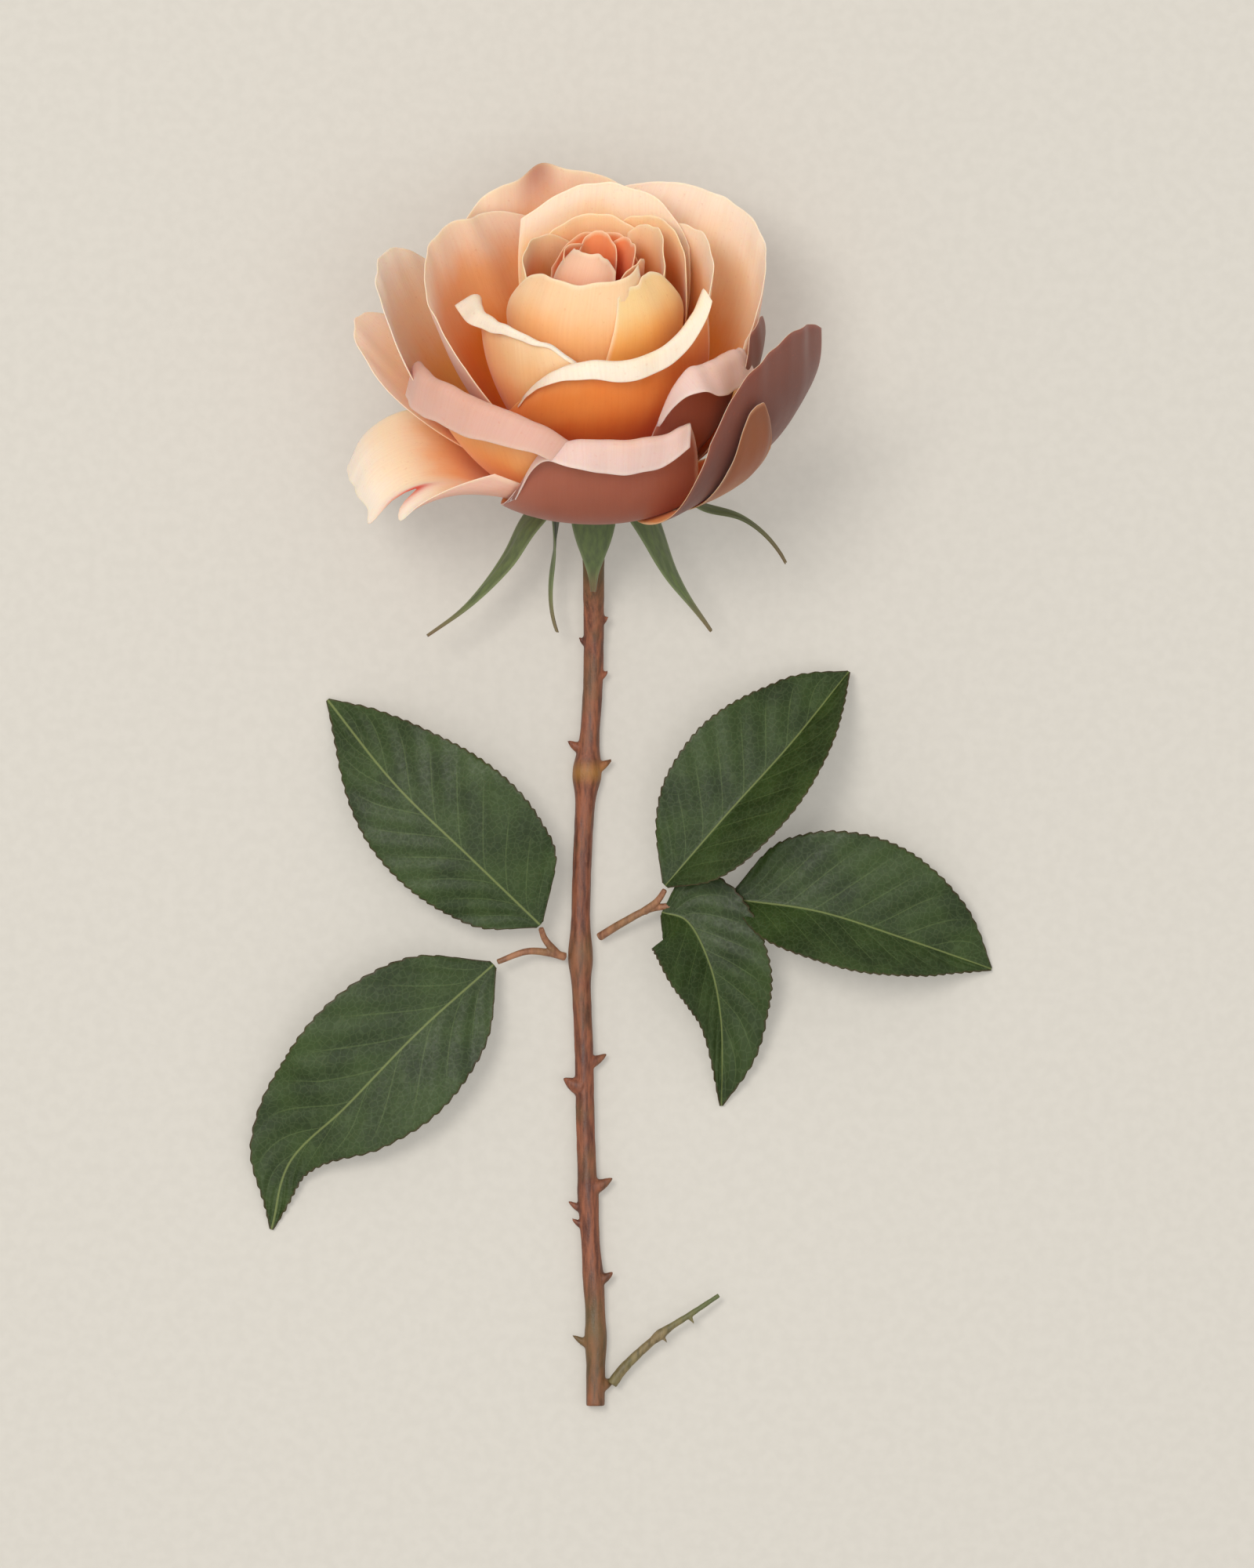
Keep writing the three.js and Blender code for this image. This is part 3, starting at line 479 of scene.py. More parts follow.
class Nodes:
    """Short names for making a node tree."""

    def __init__(self, name):
        self.material = bpy.data.materials.new(name)
        self.material.use_nodes = True
        self.tree = self.material.node_tree
        self.shader = self.tree.nodes["Principled BSDF"]

    def new(self, kind, **settings):
        node = self.tree.nodes.new("ShaderNode" + kind)
        for key, value in settings.items():
            setattr(node, key, value)
        return node

    def link(self, a, b):
        if isinstance(a, (int, float, tuple)):
            b.default_value = a
        else:
            self.tree.links.new(a, b)

    def attribute(self, name):
        node = self.new("Attribute", attribute_name=name)
        split = self.new("SeparateXYZ")
        self.link(node.outputs["Vector"], split.inputs[0])
        return split.outputs["X"], split.outputs["Y"], split.outputs["Z"]

    def math(self, operation, a, b=0.0, clamp=False):
        node = self.new("Math", operation=operation, use_clamp=clamp)
        self.link(a, node.inputs[0])
        self.link(b, node.inputs[1])
        return node.outputs[0]

    def ramp(self, factor, stops):
        node = self.new("ValToRGB")
        node.color_ramp.interpolation = "EASE"
        elements = node.color_ramp.elements
        while len(elements) < len(stops):
            elements.new(0.5)
        for element, (place, color) in zip(elements, stops):
            element.position = place
            element.color = color
        self.link(factor, node.inputs[0])
        return node.outputs[0]

    def fade(self, value, low, high, out_low=0.0, out_high=1.0):
        node = self.new("MapRange", interpolation_type="SMOOTHSTEP")
        self.link(value, node.inputs["Value"])
        ends = {"From Min": low, "From Max": high, "To Min": out_low, "To Max": out_high}
        for key, number in ends.items():
            node.inputs[key].default_value = number
        return node.outputs[0]

    def mix(self, factor, a, b, blend="MIX"):
        node = self.new("Mix", data_type="RGBA", blend_type=blend)
        self.link(factor, node.inputs["Factor"])
        self.link(a, node.inputs[6])
        self.link(b, node.inputs[7])
        return node.outputs[2]

    def vector(self, x, y, z):
        node = self.new("CombineXYZ")
        for value, socket in zip((x, y, z), node.inputs):
            self.link(value, socket)
        return node.outputs[0]

    def noise(self, vector, scale, detail=3.0, roughness=0.5):
        node = self.new("TexNoise")
        self.link(vector, node.inputs["Vector"])
        node.inputs["Scale"].default_value = scale
        node.inputs["Detail"].default_value = detail
        node.inputs["Roughness"].default_value = roughness
        return node.outputs["Fac"]

    def bump(self, height, distance, strength=1.0, normal=None):
        node = self.new("Bump")
        node.inputs["Strength"].default_value = strength
        node.inputs["Distance"].default_value = distance * MM
        self.link(height, node.inputs["Height"])
        if normal is not None:
            self.link(normal, node.inputs["Normal"])
        return node.outputs[0]

    def finish(self, color, roughness, normal, **sockets):
        self.link(color, self.shader.inputs["Base Color"])
        self.link(roughness, self.shader.inputs["Roughness"])
        if normal is not None:
            self.link(normal, self.shader.inputs["Normal"])
        for key, value in sockets.items():
            self.shader.inputs[key.replace("_", " ")].default_value = value
        return self.material


def petal_material(name, inner, outer, rim_inner, rim_outer, rim_wide=1.3, sss=0.35):
    """inner and outer are the colours from foot to rim on the two faces."""
    n = Nodes(name)
    across, along, edge = n.attribute("grain")
    u, v, outside = n.attribute("tone")
    red, brown, _ = n.attribute("stain")
    drift = n.vector(n.math("MULTIPLY", across, 0.12), n.math("MULTIPLY", along, 0.07), outside)
    cloud = n.noise(drift, 1.0, 4.0)
    shifted = n.math("ADD", v, n.math("MULTIPLY", n.math("SUBTRACT", cloud, 0.5), 0.22))
    places = [0.2, 0.5, 0.74, 0.97]
    inside_color = n.ramp(shifted, list(zip(places, inner)))
    outside_color = n.ramp(shifted, list(zip(places, outer)))
    ragged = n.math("ADD", edge, n.math("MULTIPLY", n.math("SUBTRACT", cloud, 0.5), rim_wide))
    near_rim = n.fade(ragged, 0.0, rim_wide, 0.5, 0.0)
    inside_color = n.mix(near_rim, inside_color, rim_inner)
    outside_color = n.mix(near_rim, outside_color, rim_outer)
    color = n.mix(outside, inside_color, outside_color)
    # Fine veins run along the petal and fan out with it.
    fan = n.vector(n.math("MULTIPLY", u, 38.0), n.math("MULTIPLY", along, 0.06), outside)
    veins = n.noise(fan, 1.3, 6.0, 0.7)
    vein_line = n.fade(veins, 0.42, 0.62)
    warmed = n.mix(1.0, color, rgb(225, 140, 110), "MULTIPLY")
    color = n.mix(n.math("MULTIPLY", vein_line, 0.06), color, warmed)
    # Freckles where the petal is bruised, and the stains of its tips.
    spot = n.vector(n.math("MULTIPLY", across, 0.8), n.math("MULTIPLY", along, 0.8), outside)
    freckle = n.noise(spot, 1.0, 4.0, 0.7)
    color = n.mix(n.fade(freckle, 0.58, 0.74, 0.0, 0.22), color, rgb(206, 92, 52))
    color = n.mix(red, color, rgb(206, 52, 26))
    color = n.mix(n.math("MULTIPLY", brown, 0.75), color, rgb(140, 84, 62))
    skin = n.vector(n.math("MULTIPLY", across, 3.0), n.math("MULTIPLY", along, 2.2), 0.0)
    grain = n.noise(skin, 1.0, 2.0)
    normal = n.bump(grain, 0.04, 0.5)
    normal = n.bump(veins, 0.04, 0.6, normal)
    roughness = n.fade(cloud, 0.3, 0.7, 0.5, 0.64)
    return n.finish(
        color, roughness, normal,
        Subsurface_Weight=sss, Subsurface_Radius=(1.0, 0.4, 0.15), Subsurface_Scale=2.2 * MM,
        Sheen_Weight=0.15, Sheen_Roughness=0.45, Specular_IOR_Level=0.25,
    )


CREAM = rgb(252, 226, 196)
MAUVE = rgb(236, 206, 196)
GLOW = [rgb(255, 128, 10), rgb(255, 160, 46), rgb(252, 200, 136), rgb(249, 226, 204)]
DEEP = [rgb(168, 20, 2), rgb(206, 40, 4), rgb(232, 82, 22), rgb(244, 148, 96)]
# Outer faces of the rolled petals: a dusty mauve brown, darkened further as painted shade on the sides that
# face away from the light.
MAUVE_BROWN_PAINTED_SHADE = [rgb(132, 64, 34), rgb(146, 76, 52), rgb(160, 92, 70), rgb(188, 124, 104)]
SKINS = {
    "dome": dict(
        inner=DEEP,
        outer=[rgb(206, 60, 20), rgb(228, 104, 58), rgb(240, 162, 122), rgb(240, 188, 158)],
    ),
    "heart": dict(
        inner=DEEP,
        outer=[rgb(180, 38, 6), rgb(206, 62, 16), rgb(228, 100, 44), rgb(246, 168, 120)],
    ),
    "bud": dict(
        inner=[rgb(228, 66, 8), rgb(248, 114, 26), rgb(252, 166, 84), rgb(252, 208, 164)],
        outer=[rgb(238, 104, 16), rgb(248, 140, 48), rgb(252, 172, 90), rgb(252, 202, 144)],
    ),
    "bud_pale": dict(
        inner=DEEP,
        outer=[rgb(236, 112, 26), rgb(246, 152, 74), rgb(248, 180, 120), rgb(242, 196, 154)],
    ),
    "cup": dict(
        inner=GLOW,
        outer=[rgb(212, 84, 18), rgb(226, 106, 34), rgb(240, 140, 66), rgb(250, 180, 116)],
    ),
    "pale": dict(
        inner=GLOW,
        outer=[rgb(232, 118, 34), rgb(246, 164, 88), rgb(250, 196, 140), rgb(252, 216, 172)],
    ),
    "fan": dict(
        inner=[rgb(255, 138, 20), rgb(255, 180, 92), rgb(255, 216, 178), rgb(253, 230, 212)],
        outer=[rgb(222, 120, 60), rgb(230, 150, 104), rgb(232, 176, 146), rgb(236, 194, 172)],
    ),
    "fan_deep": dict(
        inner=[rgb(250, 118, 10), rgb(252, 142, 44), rgb(248, 176, 118), rgb(246, 212, 186)],
        outer=[rgb(222, 120, 60), rgb(230, 150, 104), rgb(232, 176, 146), rgb(236, 194, 172)],
    ),
    "rolled": dict(
        inner=[rgb(238, 120, 30), rgb(240, 154, 92), rgb(232, 178, 150), rgb(226, 190, 180)], outer=MAUVE_BROWN_PAINTED_SHADE,
        rim_inner=MAUVE, rim_outer=MAUVE,
    ),
    "rolled_light": dict(
        inner=[rgb(250, 130, 40), rgb(240, 150, 90), rgb(216, 158, 132), rgb(212, 168, 152)],
        outer=[rgb(250, 136, 46), rgb(250, 156, 76), rgb(246, 172, 112), rgb(232, 180, 150)],
        rim_inner=rgb(222, 184, 170), rim_outer=MAUVE,
    ),
    "shade": dict(
        inner=GLOW, outer=[rgb(112, 48, 16), rgb(106, 46, 24), rgb(102, 48, 32), rgb(118, 66, 50)],
        rim_outer=rgb(140, 92, 76),
    ),
    # Outer face of the low right guard petal: ochre with a green foot, darkened as painted shade where it
    # faces away from the light.
    "ochre_painted_shade": dict(
        inner=GLOW, outer=[rgb(150, 156, 100), rgb(168, 98, 32), rgb(144, 74, 26), rgb(134, 76, 42)],
        rim_outer=rgb(206, 150, 112),
    ),
    "guard": dict(
        inner=[rgb(246, 138, 46), rgb(252, 188, 126), rgb(253, 220, 186), rgb(252, 228, 210)],
        outer=[rgb(206, 120, 74), rgb(220, 146, 108), rgb(228, 168, 142), rgb(236, 186, 166)],
    ),
}
PALE_RIMS = {"rim_inner": CREAM, "rim_outer": CREAM}
PETAL_SKINS = {
    name: petal_material("petal_" + name, **{**PALE_RIMS, **skin}) for name, skin in SKINS.items()
}


def leaf_material():
    n = Nodes("leaf")
    across, along, edge = n.attribute("grain")
    u, v, face = n.attribute("tone")
    size = n.math("ABSOLUTE", u)
    # Side veins leave the midrib in pairs and curve towards the tip.
    back = n.math("MULTIPLY", n.math("POWER", size, 0.82), 2.3)
    run = n.math("SUBTRACT", n.math("MULTIPLY", v, 9.0), back)
    side = n.math("MULTIPLY", n.math("SIGN", u), 0.22)
    run = n.math("ADD", run, side)
    off = n.math("ABSOLUTE", n.math("SUBTRACT", n.math("FRACT", run), 0.5))
    near_vein = n.fade(off, 0.0, 0.045, 1.0, 0.0)
    side_vein = n.math("MULTIPLY", near_vein, n.fade(size, 0.5, 0.92, 1.0, 0.0))
    midrib = n.fade(n.math("ABSOLUTE", across), 0.08, 0.36, 1.0, 0.0)
    place = n.vector(across, along, face)
    patch = n.noise(place, 0.09, 3.0)
    fine = n.noise(place, 1.3, 4.0, 0.6)
    web = n.new("TexVoronoi", feature="DISTANCE_TO_EDGE")
    n.link(place, web.inputs["Vector"])
    web.inputs["Scale"].default_value = 0.75
    net = n.fade(web.outputs["Distance"], 0.0, 0.12, 1.0, 0.0)
    color = n.ramp(patch, [(0.3, rgb(30, 44, 8)), (0.7, rgb(54, 72, 28))])
    color = n.mix(n.math("MULTIPLY", fine, 0.35), color, rgb(36, 56, 20))
    color = n.mix(n.math("MULTIPLY", net, 0.14), color, rgb(104, 120, 80))
    color = n.mix(n.math("MULTIPLY", side_vein, 0.22), color, rgb(112, 130, 76))
    color = n.mix(n.math("MULTIPLY", midrib, 0.6), color, rgb(128, 138, 80))
    color = n.mix(n.fade(edge, 0.0, 0.5, 0.5, 0.0), color, rgb(70, 40, 30))
    normal = n.bump(fine, 0.12, 0.5)
    normal = n.bump(net, 0.05, -0.5, normal)
    normal = n.bump(side_vein, 0.12, -0.6, normal)
    normal = n.bump(midrib, 0.3, -0.7, normal)
    return n.finish(
        color, n.fade(fine, 0.3, 0.7, 0.44, 0.6), normal,
        Specular_IOR_Level=0.28, Subsurface_Weight=0.05, Subsurface_Scale=1 * MM,
        Coat_Weight=0.04, Coat_Roughness=0.35,
    )


def sepal_material():
    n = Nodes("sepal")
    across, along, edge = n.attribute("grain")
    u, v, face = n.attribute("tone")
    place = n.vector(across, n.math("MULTIPLY", along, 0.3), face)
    streak = n.noise(place, 0.9, 4.0)
    color = n.ramp(streak, [(0.3, rgb(38, 52, 12)), (0.7, rgb(76, 92, 34))])
    color = n.mix(n.fade(edge, 0.0, 0.8, 0.45, 0.0), color, rgb(138, 148, 104))
    color = n.mix(n.fade(v, 0.7, 1.0), color, rgb(110, 78, 50))
    color = n.mix(n.math("MULTIPLY", n.math("SUBTRACT", 1.0, face), 0.3), color, rgb(120, 134, 92))
    return n.finish(color, 0.6, n.bump(streak, 0.2, 0.6), Specular_IOR_Level=0.4, Sheen_Weight=0.2)


def bark_material(name, base, dark, green, nodes):
    """Bark along Y: green round each of the heights in `nodes`, in millimetres before placing."""
    n = Nodes(name)
    coordinate = n.new("TexCoord").outputs["Object"]
    split = n.new("SeparateXYZ")
    n.link(coordinate, split.inputs[0])
    x, y, z = (n.math("MULTIPLY", split.outputs[k], 1000.0) for k in range(3))
    long = n.vector(x, n.math("MULTIPLY", y, 0.16), z)
    streak = n.noise(long, 0.9, 5.0, 0.6)
    blotch = n.noise(n.vector(x, y, z), 0.12, 3.0)
    speck = n.noise(n.vector(x, y, z), 2.2, 3.0, 0.7)
    color = n.ramp(streak, [(0.3, dark), (0.7, base)])
    color = n.mix(n.fade(blotch, 0.45, 0.7, 0.0, 0.35), color, green)
    for height, spread, amount, tint in nodes:
        off = n.math("ABSOLUTE", n.math("SUBTRACT", y, float(height + PLACE[1])))
        color = n.mix(n.fade(off, 0.0, spread, amount, 0.0), color, tint)
    color = n.mix(n.fade(speck, 0.62, 0.72, 0.0, 0.4), color, rgb(150, 112, 82))
    normal = n.bump(streak, 0.25, 0.6)
    normal = n.bump(speck, 0.15, 0.5, normal)
    return n.finish(color, n.fade(streak, 0.3, 0.7, 0.42, 0.6), normal, Specular_IOR_Level=0.45)


LEAF = leaf_material()
SEPAL = sepal_material()
BARK = bark_material(
    "bark", rgb(146, 86, 58), rgb(80, 40, 26), rgb(98, 84, 48),
    [
        (-18, 14, 0.8, rgb(96, 82, 44)),
        (-64.6, 3.5, 0.6, rgb(168, 118, 52)),
        (-104.6, 8, 0.4, rgb(120, 92, 60)),
        (-190, 22, 0.45, rgb(92, 86, 46)),
    ],
)
SHOOT_BARK = bark_material(
    "shoot_bark", rgb(140, 120, 84), rgb(90, 74, 48), rgb(96, 100, 52),
    [(-179, 9, 0.9, rgb(84, 96, 54))],
)

for petal in PETALS:
    build_petal(petal, PETAL_SKINS[petal["skin"]], PETAL_THICKNESS)
for sepal in SEPALS:
    spec = dict(layer=LAYERS, drop=0, widths="sepal", ruffle=0.2, ragged=0, **sepal)
    build_petal(spec, SEPAL, SEPAL_THICKNESS, columns=24, rows=60)

# ---- Leaves ----
LEAFLETS = [
    dict(
        name="leaflet_left_upper",
        midrib=[(-11.7, -97.8, 8), (-27, -83, 12), (-43, -67.5, 10), (-58.1, -48.8, 0.8)],
        left=[1, 9.2, 12.6, 14.2, 14.3, 12.9, 9.6, 5, 0.4],
        right=[1, 13, 16.6, 18, 17.6, 15.8, 12.4, 7.4, 0.4],
        fold=(-8, 8),
    ),
    dict(
        name="leaflet_left_lower",
        midrib=[
            (-21.9, -106.6, 6), (-38, -121, 9), (-54, -137.5, 7), (-66.5, -150, 3), (-70.4, -164.4, 0.8),
        ],
        left=[1, 10.8, 14.8, 15.4, 12.3, 7.4, 4.6, 3, 0.4],
        right=[1, 12, 16.8, 18.5, 17.4, 14.8, 9.6, 4, 0.4],
        fold=(6, 6),
    ),
    dict(
        name="leaflet_right_upper",
        midrib=[(15.8, -89.3, 9), (29, -74, 11), (43, -58.5, 9), (55.8, -42.7, 3)],
        left=[1, 9.3, 14.4, 16.6, 17.2, 15.8, 12.8, 8.4, 0.4],
        right=[1, 10, 14.6, 16, 15.6, 13.4, 10, 5.6, 0.4],
        fold=(4, 50),
    ),
    dict(
        name="leaflet_right_middle",
        midrib=[(30.3, -92.3, 7), (49, -95, 10), (68, -101, 7), (86.9, -107.6, 0.8)],
        left=[2, 12, 16.4, 18.6, 19, 17.6, 14.2, 9, 0.4],
        right=[1, 9, 12.6, 14, 13.6, 11.4, 8.4, 4.4, 0.4],
        fold=(4, 42),
    ),
    dict(
        name="leaflet_right_lower",
        midrib=[
            (15, -95.2, 7), (20.1, -96.9, 8), (25.2, -106.3, 9), (27.7, -118.2, 6), (27.9, -137.4, 0.8),
        ],
        left=[1, 8.5, 12, 13, 13, 12.4, 10.4, 7, 0.4],
        right=[1, 8.5, 12, 13, 12.4, 9.4, 6, 3, 0.4],
        fold=(8, 40),
    ),
]
LEAF_TEETH = 30
TOOTH_DEPTH = 0.45
UP = np.array([0.0, 0.0, 1.0])


def build_leaflet(leaf, columns=44, rows=180):
    u = np.linspace(-1, 1, columns + 1)
    u = np.sign(u) * np.abs(u) ** 0.85
    v = np.linspace(0, 1, rows + 1)
    rib = catmull(leaf["midrib"], v)
    length = np.linalg.norm(np.diff(rib, axis=0), axis=1).sum()
    tangent = unit(np.gradient(rib, axis=0))
    side = unit(np.cross(tangent, UP))
    up = np.cross(side, tangent)
    uu, vv = np.meshgrid(u, v)
    half = np.where(uu < 0, station(leaf["left"], vv), station(leaf["right"], vv))
    phase = (vv * LEAF_TEETH) % 1
    tooth = np.where(phase < 0.75, phase / 0.75, (1 - phase) / 0.25) - 0.5
    taper = smooth(vv, 0.02, 0.12) * smooth(1 - vv, 0.0, 0.08)
    width = half * np.abs(uu) + TOOTH_DEPTH * tooth * taper * smooth(np.abs(uu), 0.82, 1)
    fold = np.radians(np.where(uu < 0, leaf["fold"][0], leaf["fold"][1]))
    rise = np.sin(fold) * width
    run = vv * 9.0 - np.abs(uu) ** 0.82 * 2.3 + np.sign(uu) * 0.22
    between = np.sin(np.pi * run + np.pi / 2) ** 2
    seed = len(leaf["name"])
    rise = rise + 0.26 * (between - 0.5) * smooth(np.abs(uu), 0.02, 0.35) * taper
    rise = rise + 0.7 * ripple(vv * 9 + uu * 2, seed) * np.abs(uu) ** 2 * taper
    out = np.sign(uu) * width * np.cos(fold)
    grid = rib[:, None] + side[:, None] * out[..., None] + up[:, None] * rise[..., None]
    edge = half * (1 - np.abs(uu))
    grain = np.stack([half * uu, vv * length, edge], -1)
    top = np.stack([uu, vv, np.ones_like(uu)], -1)
    under = np.stack([uu, vv, np.zeros_like(uu)], -1)
    thick = LEAF_THICKNESS * (0.5 + 0.5 * smooth(edge, 0, 1.5))
    # The leaf's upper face is the one that looks up, whichever way its sides run.
    layers = {"grain": (grain, grain), "tone": (top, under)}
    verts, faces, values, normal = sheet_mesh(grid + PLACE_XY, thick, layers)
    if normal[..., 2].mean() < 0:
        values["tone"][:, 2] = 1 - values["tone"][:, 2]
    return make_object(leaf["name"] + "_fine", verts, faces, LEAF, leaf["name"], values)


for leaflet in LEAFLETS:
    build_leaflet(leaflet)

# ---- Stem ----
STEM_SWAY = [-0.2, -1.5, -2.5, -2.8, -2.1, -1.7, -0.9, 0.35, 0.4]
# Each node: its place along the stem and how much it swells it.
STEM_NODES = [(-64.6, 1.1), (-104.6, 0.7), (-157.6, 0.3), (-176, 0.3), (-188, 0.4)]
NODE_SPREAD = 4.5
# Each prickle: its place along the stem, its direction in degrees, its length and its width at the root.
PRICKLES = [
    (-32.3, 10, 1.2, 1), (-36.9, 170, 1.2, 1), (-44.2, 10, 1.4, 1), (-59.9, 175, 2.4, 1.5),
    (-64.3, 5, 2.6, 1.5), (-128.4, 0, 3.2, 1.5), (-133.6, 170, 3, 2.2), (-155.7, 8, 3.6, 1.8),
    (-160.4, 175, 2.6, 1.1), (-164, 165, 2.2, 1), (-175.9, 12, 2.4, 1.5), (-189.9, 178, 3, 1.2),
    (-199, -10, 2.6, 1.6),
]
SHOOT = [(4, -198.2, 2.6), (6.6, -194.7, 2.9), (15, -187, 4.2), (20.9, -183.1, 4.4), (27.4, -178.8, 3.4)]
STEM_VOXEL = 0.28

stem_rest = STEM_RADIUS * 1.05
neck = tilted(np.array([0, 0, -HIP_LENGTH - CLEARANCE])) + [0, 0, LIFT]
bend_radius = (neck[2] - stem_rest) / (1 - math.cos(HEAD_TILT))
bend_end = neck[1] - bend_radius * math.sin(HEAD_TILT)
stem_points = []
for k in range(4):
    a = HEAD_TILT * (1 - k / 4)
    bend_height = stem_rest + bend_radius * (1 - math.cos(a))
    stem_points.append((0, bend_end + bend_radius * math.sin(a), bend_height))
for k, x in enumerate(STEM_SWAY):
    y = bend_end + (-STEM_REACH - bend_end) * k / (len(STEM_SWAY) - 1)
    stem_points.append((x, y, stem_rest))
stem_line = evenly(stem_points, 400)


def stem_radius(t):
    y = np.interp(t, np.linspace(0, 1, 401), stem_line[:, 1])
    swell = sum(s * math.exp(-(((y - at) / NODE_SPREAD) ** 2)) for at, s in STEM_NODES)
    return STEM_RADIUS + 0.45 * (1 - t) ** 6 + swell


def stem_lump(t, angle):
    return 0.05 * ripple(t * 150 + 2 * np.cos(angle), 3) + 0.06 * np.cos(5 * angle + 9 * t)


def join(parts):
    verts, faces, count = [], [], 0
    for v, f in parts:
        verts.append(v)
        faces += [[i + count for i in face] for face in f]
        count += len(v)
    return np.vstack(verts), faces


def fused(piece, voxel):
    """Melts a piece's overlapping solids into one skin."""
    modifier = piece.modifiers.new("fuse", "REMESH")
    modifier.mode = "VOXEL"
    modifier.voxel_size = voxel * MM
    relax = piece.modifiers.new("relax", "SMOOTH")
    relax.iterations = 3
    bpy.context.view_layer.update()
    mesh = bpy.data.meshes.new_from_object(piece.evaluated_get(bpy.context.evaluated_depsgraph_get()))
    piece.modifiers.clear()
    old = piece.data
    piece.data = mesh
    mesh.name = old.name
    bpy.data.meshes.remove(old)
    mesh.shade_smooth()
    return piece


stem_parts = [rod_mesh(stem_points, stem_radius, 400, 24, stem_lump)]
for y, around, long, wide in PRICKLES:
    t = float(np.interp(-y, -stem_line[:, 1], np.linspace(0, 1, 401)))
    outward = unit(np.array([math.cos(math.radians(around)), 0.35, math.sin(math.radians(around))]))
    root = np.array([np.interp(-y, -stem_line[:, 1], stem_line[:, k]) for k in range(3)])
    radius = stem_radius(t)
    start = root + outward * radius * 0.5
    tip = root + outward * (radius + long) + np.array([0, 0.6, 0])
    mid = (start + tip) / 2 + np.array([0, -0.25, 0])
    stem_parts.append(rod_mesh([start, mid, tip], lambda s, w=wide: w * (1 - s) ** 0.8 + 0.12, 14, 14))
verts, faces = join(stem_parts)
stem = make_object("stem_fine", verts + PLACE_XY, faces, BARK, "stem")
fused(stem, STEM_VOXEL)

shoot_radius = lambda t: SHOOT_RADIUS * (1 - 0.6 * t) + 0.35 * math.exp(-(((t - 0.5) / 0.05) ** 2))
shoot_lump = lambda t, a: 0.05 * ripple(t * 60 + 2 * np.cos(a), 5)
shoot_parts = [rod_mesh(SHOOT, shoot_radius, 120, 18, shoot_lump)]
shoot_line = evenly(SHOOT, 100)
for at, long in ((0.5, 2.4), (0.74, 2.2)):
    root = shoot_line[int(at * 100)]
    tangent = unit(shoot_line[int(at * 100) + 1] - root)
    outward = unit(np.cross(tangent, UP))
    tip = root + outward * long
    shoot_parts.append(rod_mesh([root, (root + tip) / 2, tip], lambda s: 0.6 * (1 - s) + 0.1, 12, 12))
verts, faces = join(shoot_parts)
fused(make_object("side_shoot_fine", verts + PLACE_XY, faces, SHOOT_BARK, "side_shoot"), 0.2)

RACHISES = [
    ("rachis_left", [
        [(-6.2, -104.9, 2.6), (-9.7, -104, 4), (-14.5, -103.7, 5.2), (-21, -106, 5.9)],
        [(-8, -104.2, 3.4), (-10.6, -101, 6), (-11.5, -98.6, 7.6)],
    ]),
    ("rachis_right", [
        [(1.2, -100.6, 2.6), (6.4, -97.4, 5), (12.4, -94.4, 6.6), (19.2, -93.6, 7), (29.2, -92.4, 6.9)],
        [(11, -95, 6.3), (14, -92.6, 7.8), (15.6, -90.2, 8.8)],
    ]),
]
STALK = bark_material("stalk", rgb(160, 112, 80), rgb(112, 70, 50), rgb(120, 104, 60), [])
for name, runs in RACHISES:
    parts = [rod_mesh(run, lambda t: RACHIS_RADIUS * (1 - 0.35 * t), 60, 14) for run in runs]
    verts, faces = join(parts)
    fused(make_object(name + "_fine", verts + PLACE_XY, faces, STALK, name), 0.2)

# ---- Hip ----
profile = evenly([(0.01, -HIP_LENGTH)] + HIP_PROFILE[1:6] + [(HIP_RADIUS * 0.8, 1.5)], 60)
sides = 72
ring = lathe_points(profile, sides)
verts = np.vstack([ring, [[0, 0, -HIP_LENGTH]], [[0, 0, 1.6]]])
faces = []
for k in range(60):
    for s in range(sides):
        t = (s + 1) % sides
        faces.append([k * sides + s, k * sides + t, (k + 1) * sides + t, (k + 1) * sides + s])
for s in range(sides):
    t = (s + 1) % sides
    faces.append([len(verts) - 2, t, s])
    faces.append([len(verts) - 1, 60 * sides + s, 60 * sides + t])
spots = np.zeros((len(verts), 3))
spots[:, 0] = verts[:, 0]
spots[:, 1] = verts[:, 2]
spots[:, 2] = 5
flat = np.zeros((len(verts), 3))
flat[:, 2] = 1
make_object("hip_fine", tilted(verts) + PLACE, faces, SEPAL, "hip", {"grain": spots, "tone": flat})

# ---- Floor, light and camera ----
VIEW_CENTRE = (7.31, -67.15)  # middle of the view, before placing
VIEW_HEIGHT = 340
VIEW_PLANE = 30  # height above the surface at which the view is that high
LENS = 400
SENSOR = 36

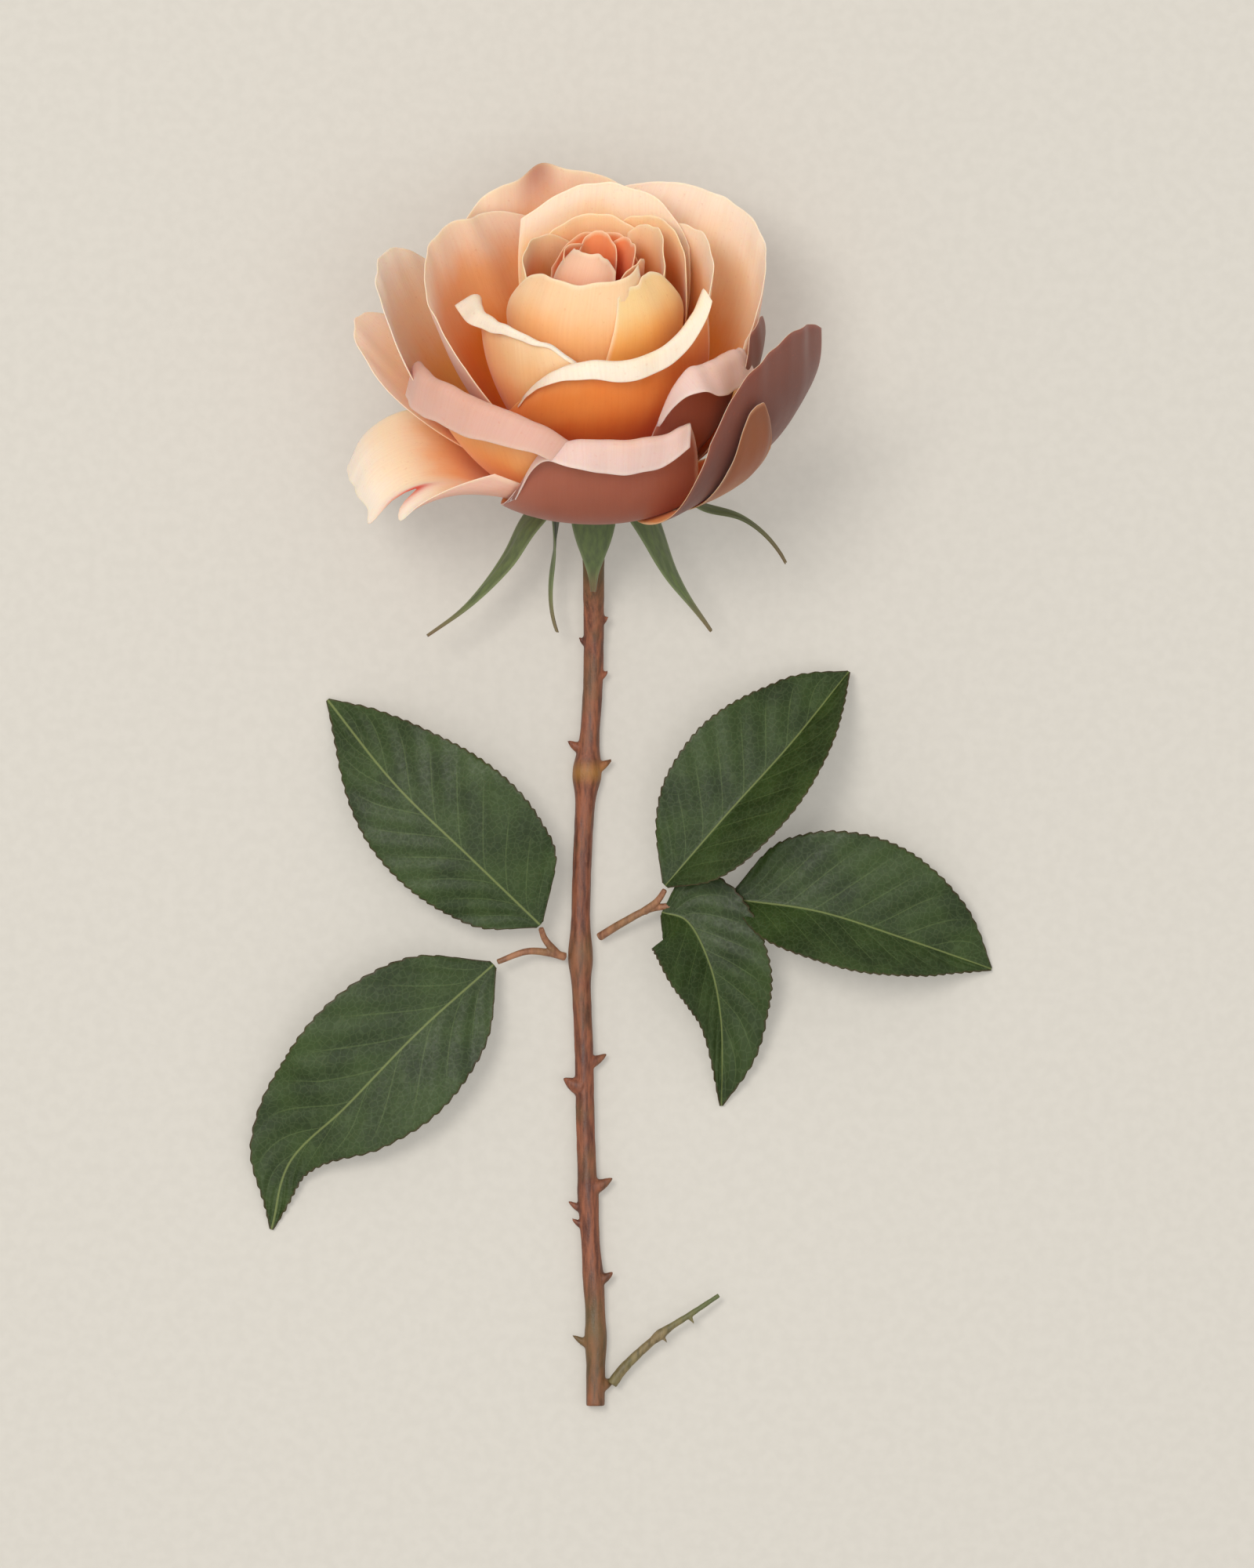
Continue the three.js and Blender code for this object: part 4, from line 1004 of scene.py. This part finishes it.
floor_material = Nodes("floor")
speckle = floor_material.noise(floor_material.new("TexCoord").outputs["Object"], 400.0)
floor_color = floor_material.ramp(speckle, [(0.3, rgb(172, 168, 160)), (0.7, rgb(176, 172, 164))])
floor_material.finish(
    floor_color, 0.95, None,
    Specular_IOR_Level=0.1, Emission_Color=rgb(221, 216, 206), Emission_Strength=0.29,
)
floor_mesh = bpy.data.meshes.new("floor")
floor_mesh.from_pydata([(-3, -3, 0), (3, -3, 0), (3, 3, 0), (-3, 3, 0)], [], [(0, 1, 2, 3)])
floor = bpy.data.objects.new("floor", floor_mesh)
floor_mesh.materials.append(floor_material.material)
bpy.context.collection.objects.link(floor)


def area_light(name, place, aim, size, power, color):
    data = bpy.data.lights.new(name, "AREA")
    data.shape = "DISK"
    data.size = size
    data.energy = power
    data.color = color
    light = bpy.data.objects.new(name, data)
    light.location = place
    direction = np.array(aim) - np.array(place)
    light.rotation_euler = Vector(direction).to_track_quat("-Z", "Y").to_euler()
    bpy.context.collection.objects.link(light)


bloom = (PLACE + [0, 20, 10]) * MM
area_light("key", (-0.6, 0.5, 2.0), tuple(bloom), 0.8, 22, (1.0, 0.97, 0.93))
area_light("fill", (0.3, -0.3, 2.0), tuple(bloom), 1.6, 10, (0.98, 0.985, 1.0))
bpy.context.scene.view_settings.view_transform = "Standard"
world = bpy.data.worlds.new("world")
world.use_nodes = True
world.node_tree.nodes["Background"].inputs["Color"].default_value = (1, 0.99, 0.97, 1)
world.node_tree.nodes["Background"].inputs["Strength"].default_value = 0.6
bpy.context.scene.world = world

camera_data = bpy.data.cameras.new("camera")
camera_data.lens = LENS
camera_data.sensor_width = SENSOR
camera = bpy.data.objects.new("camera", camera_data)
distance = VIEW_HEIGHT * LENS / SENSOR
camera.location = (
    (VIEW_CENTRE[0] + PLACE[0]) * MM, (VIEW_CENTRE[1] + PLACE[1]) * MM, (VIEW_PLANE + distance) * MM,
)
camera_data.clip_end = 20
bpy.context.collection.objects.link(camera)
bpy.context.scene.camera = camera
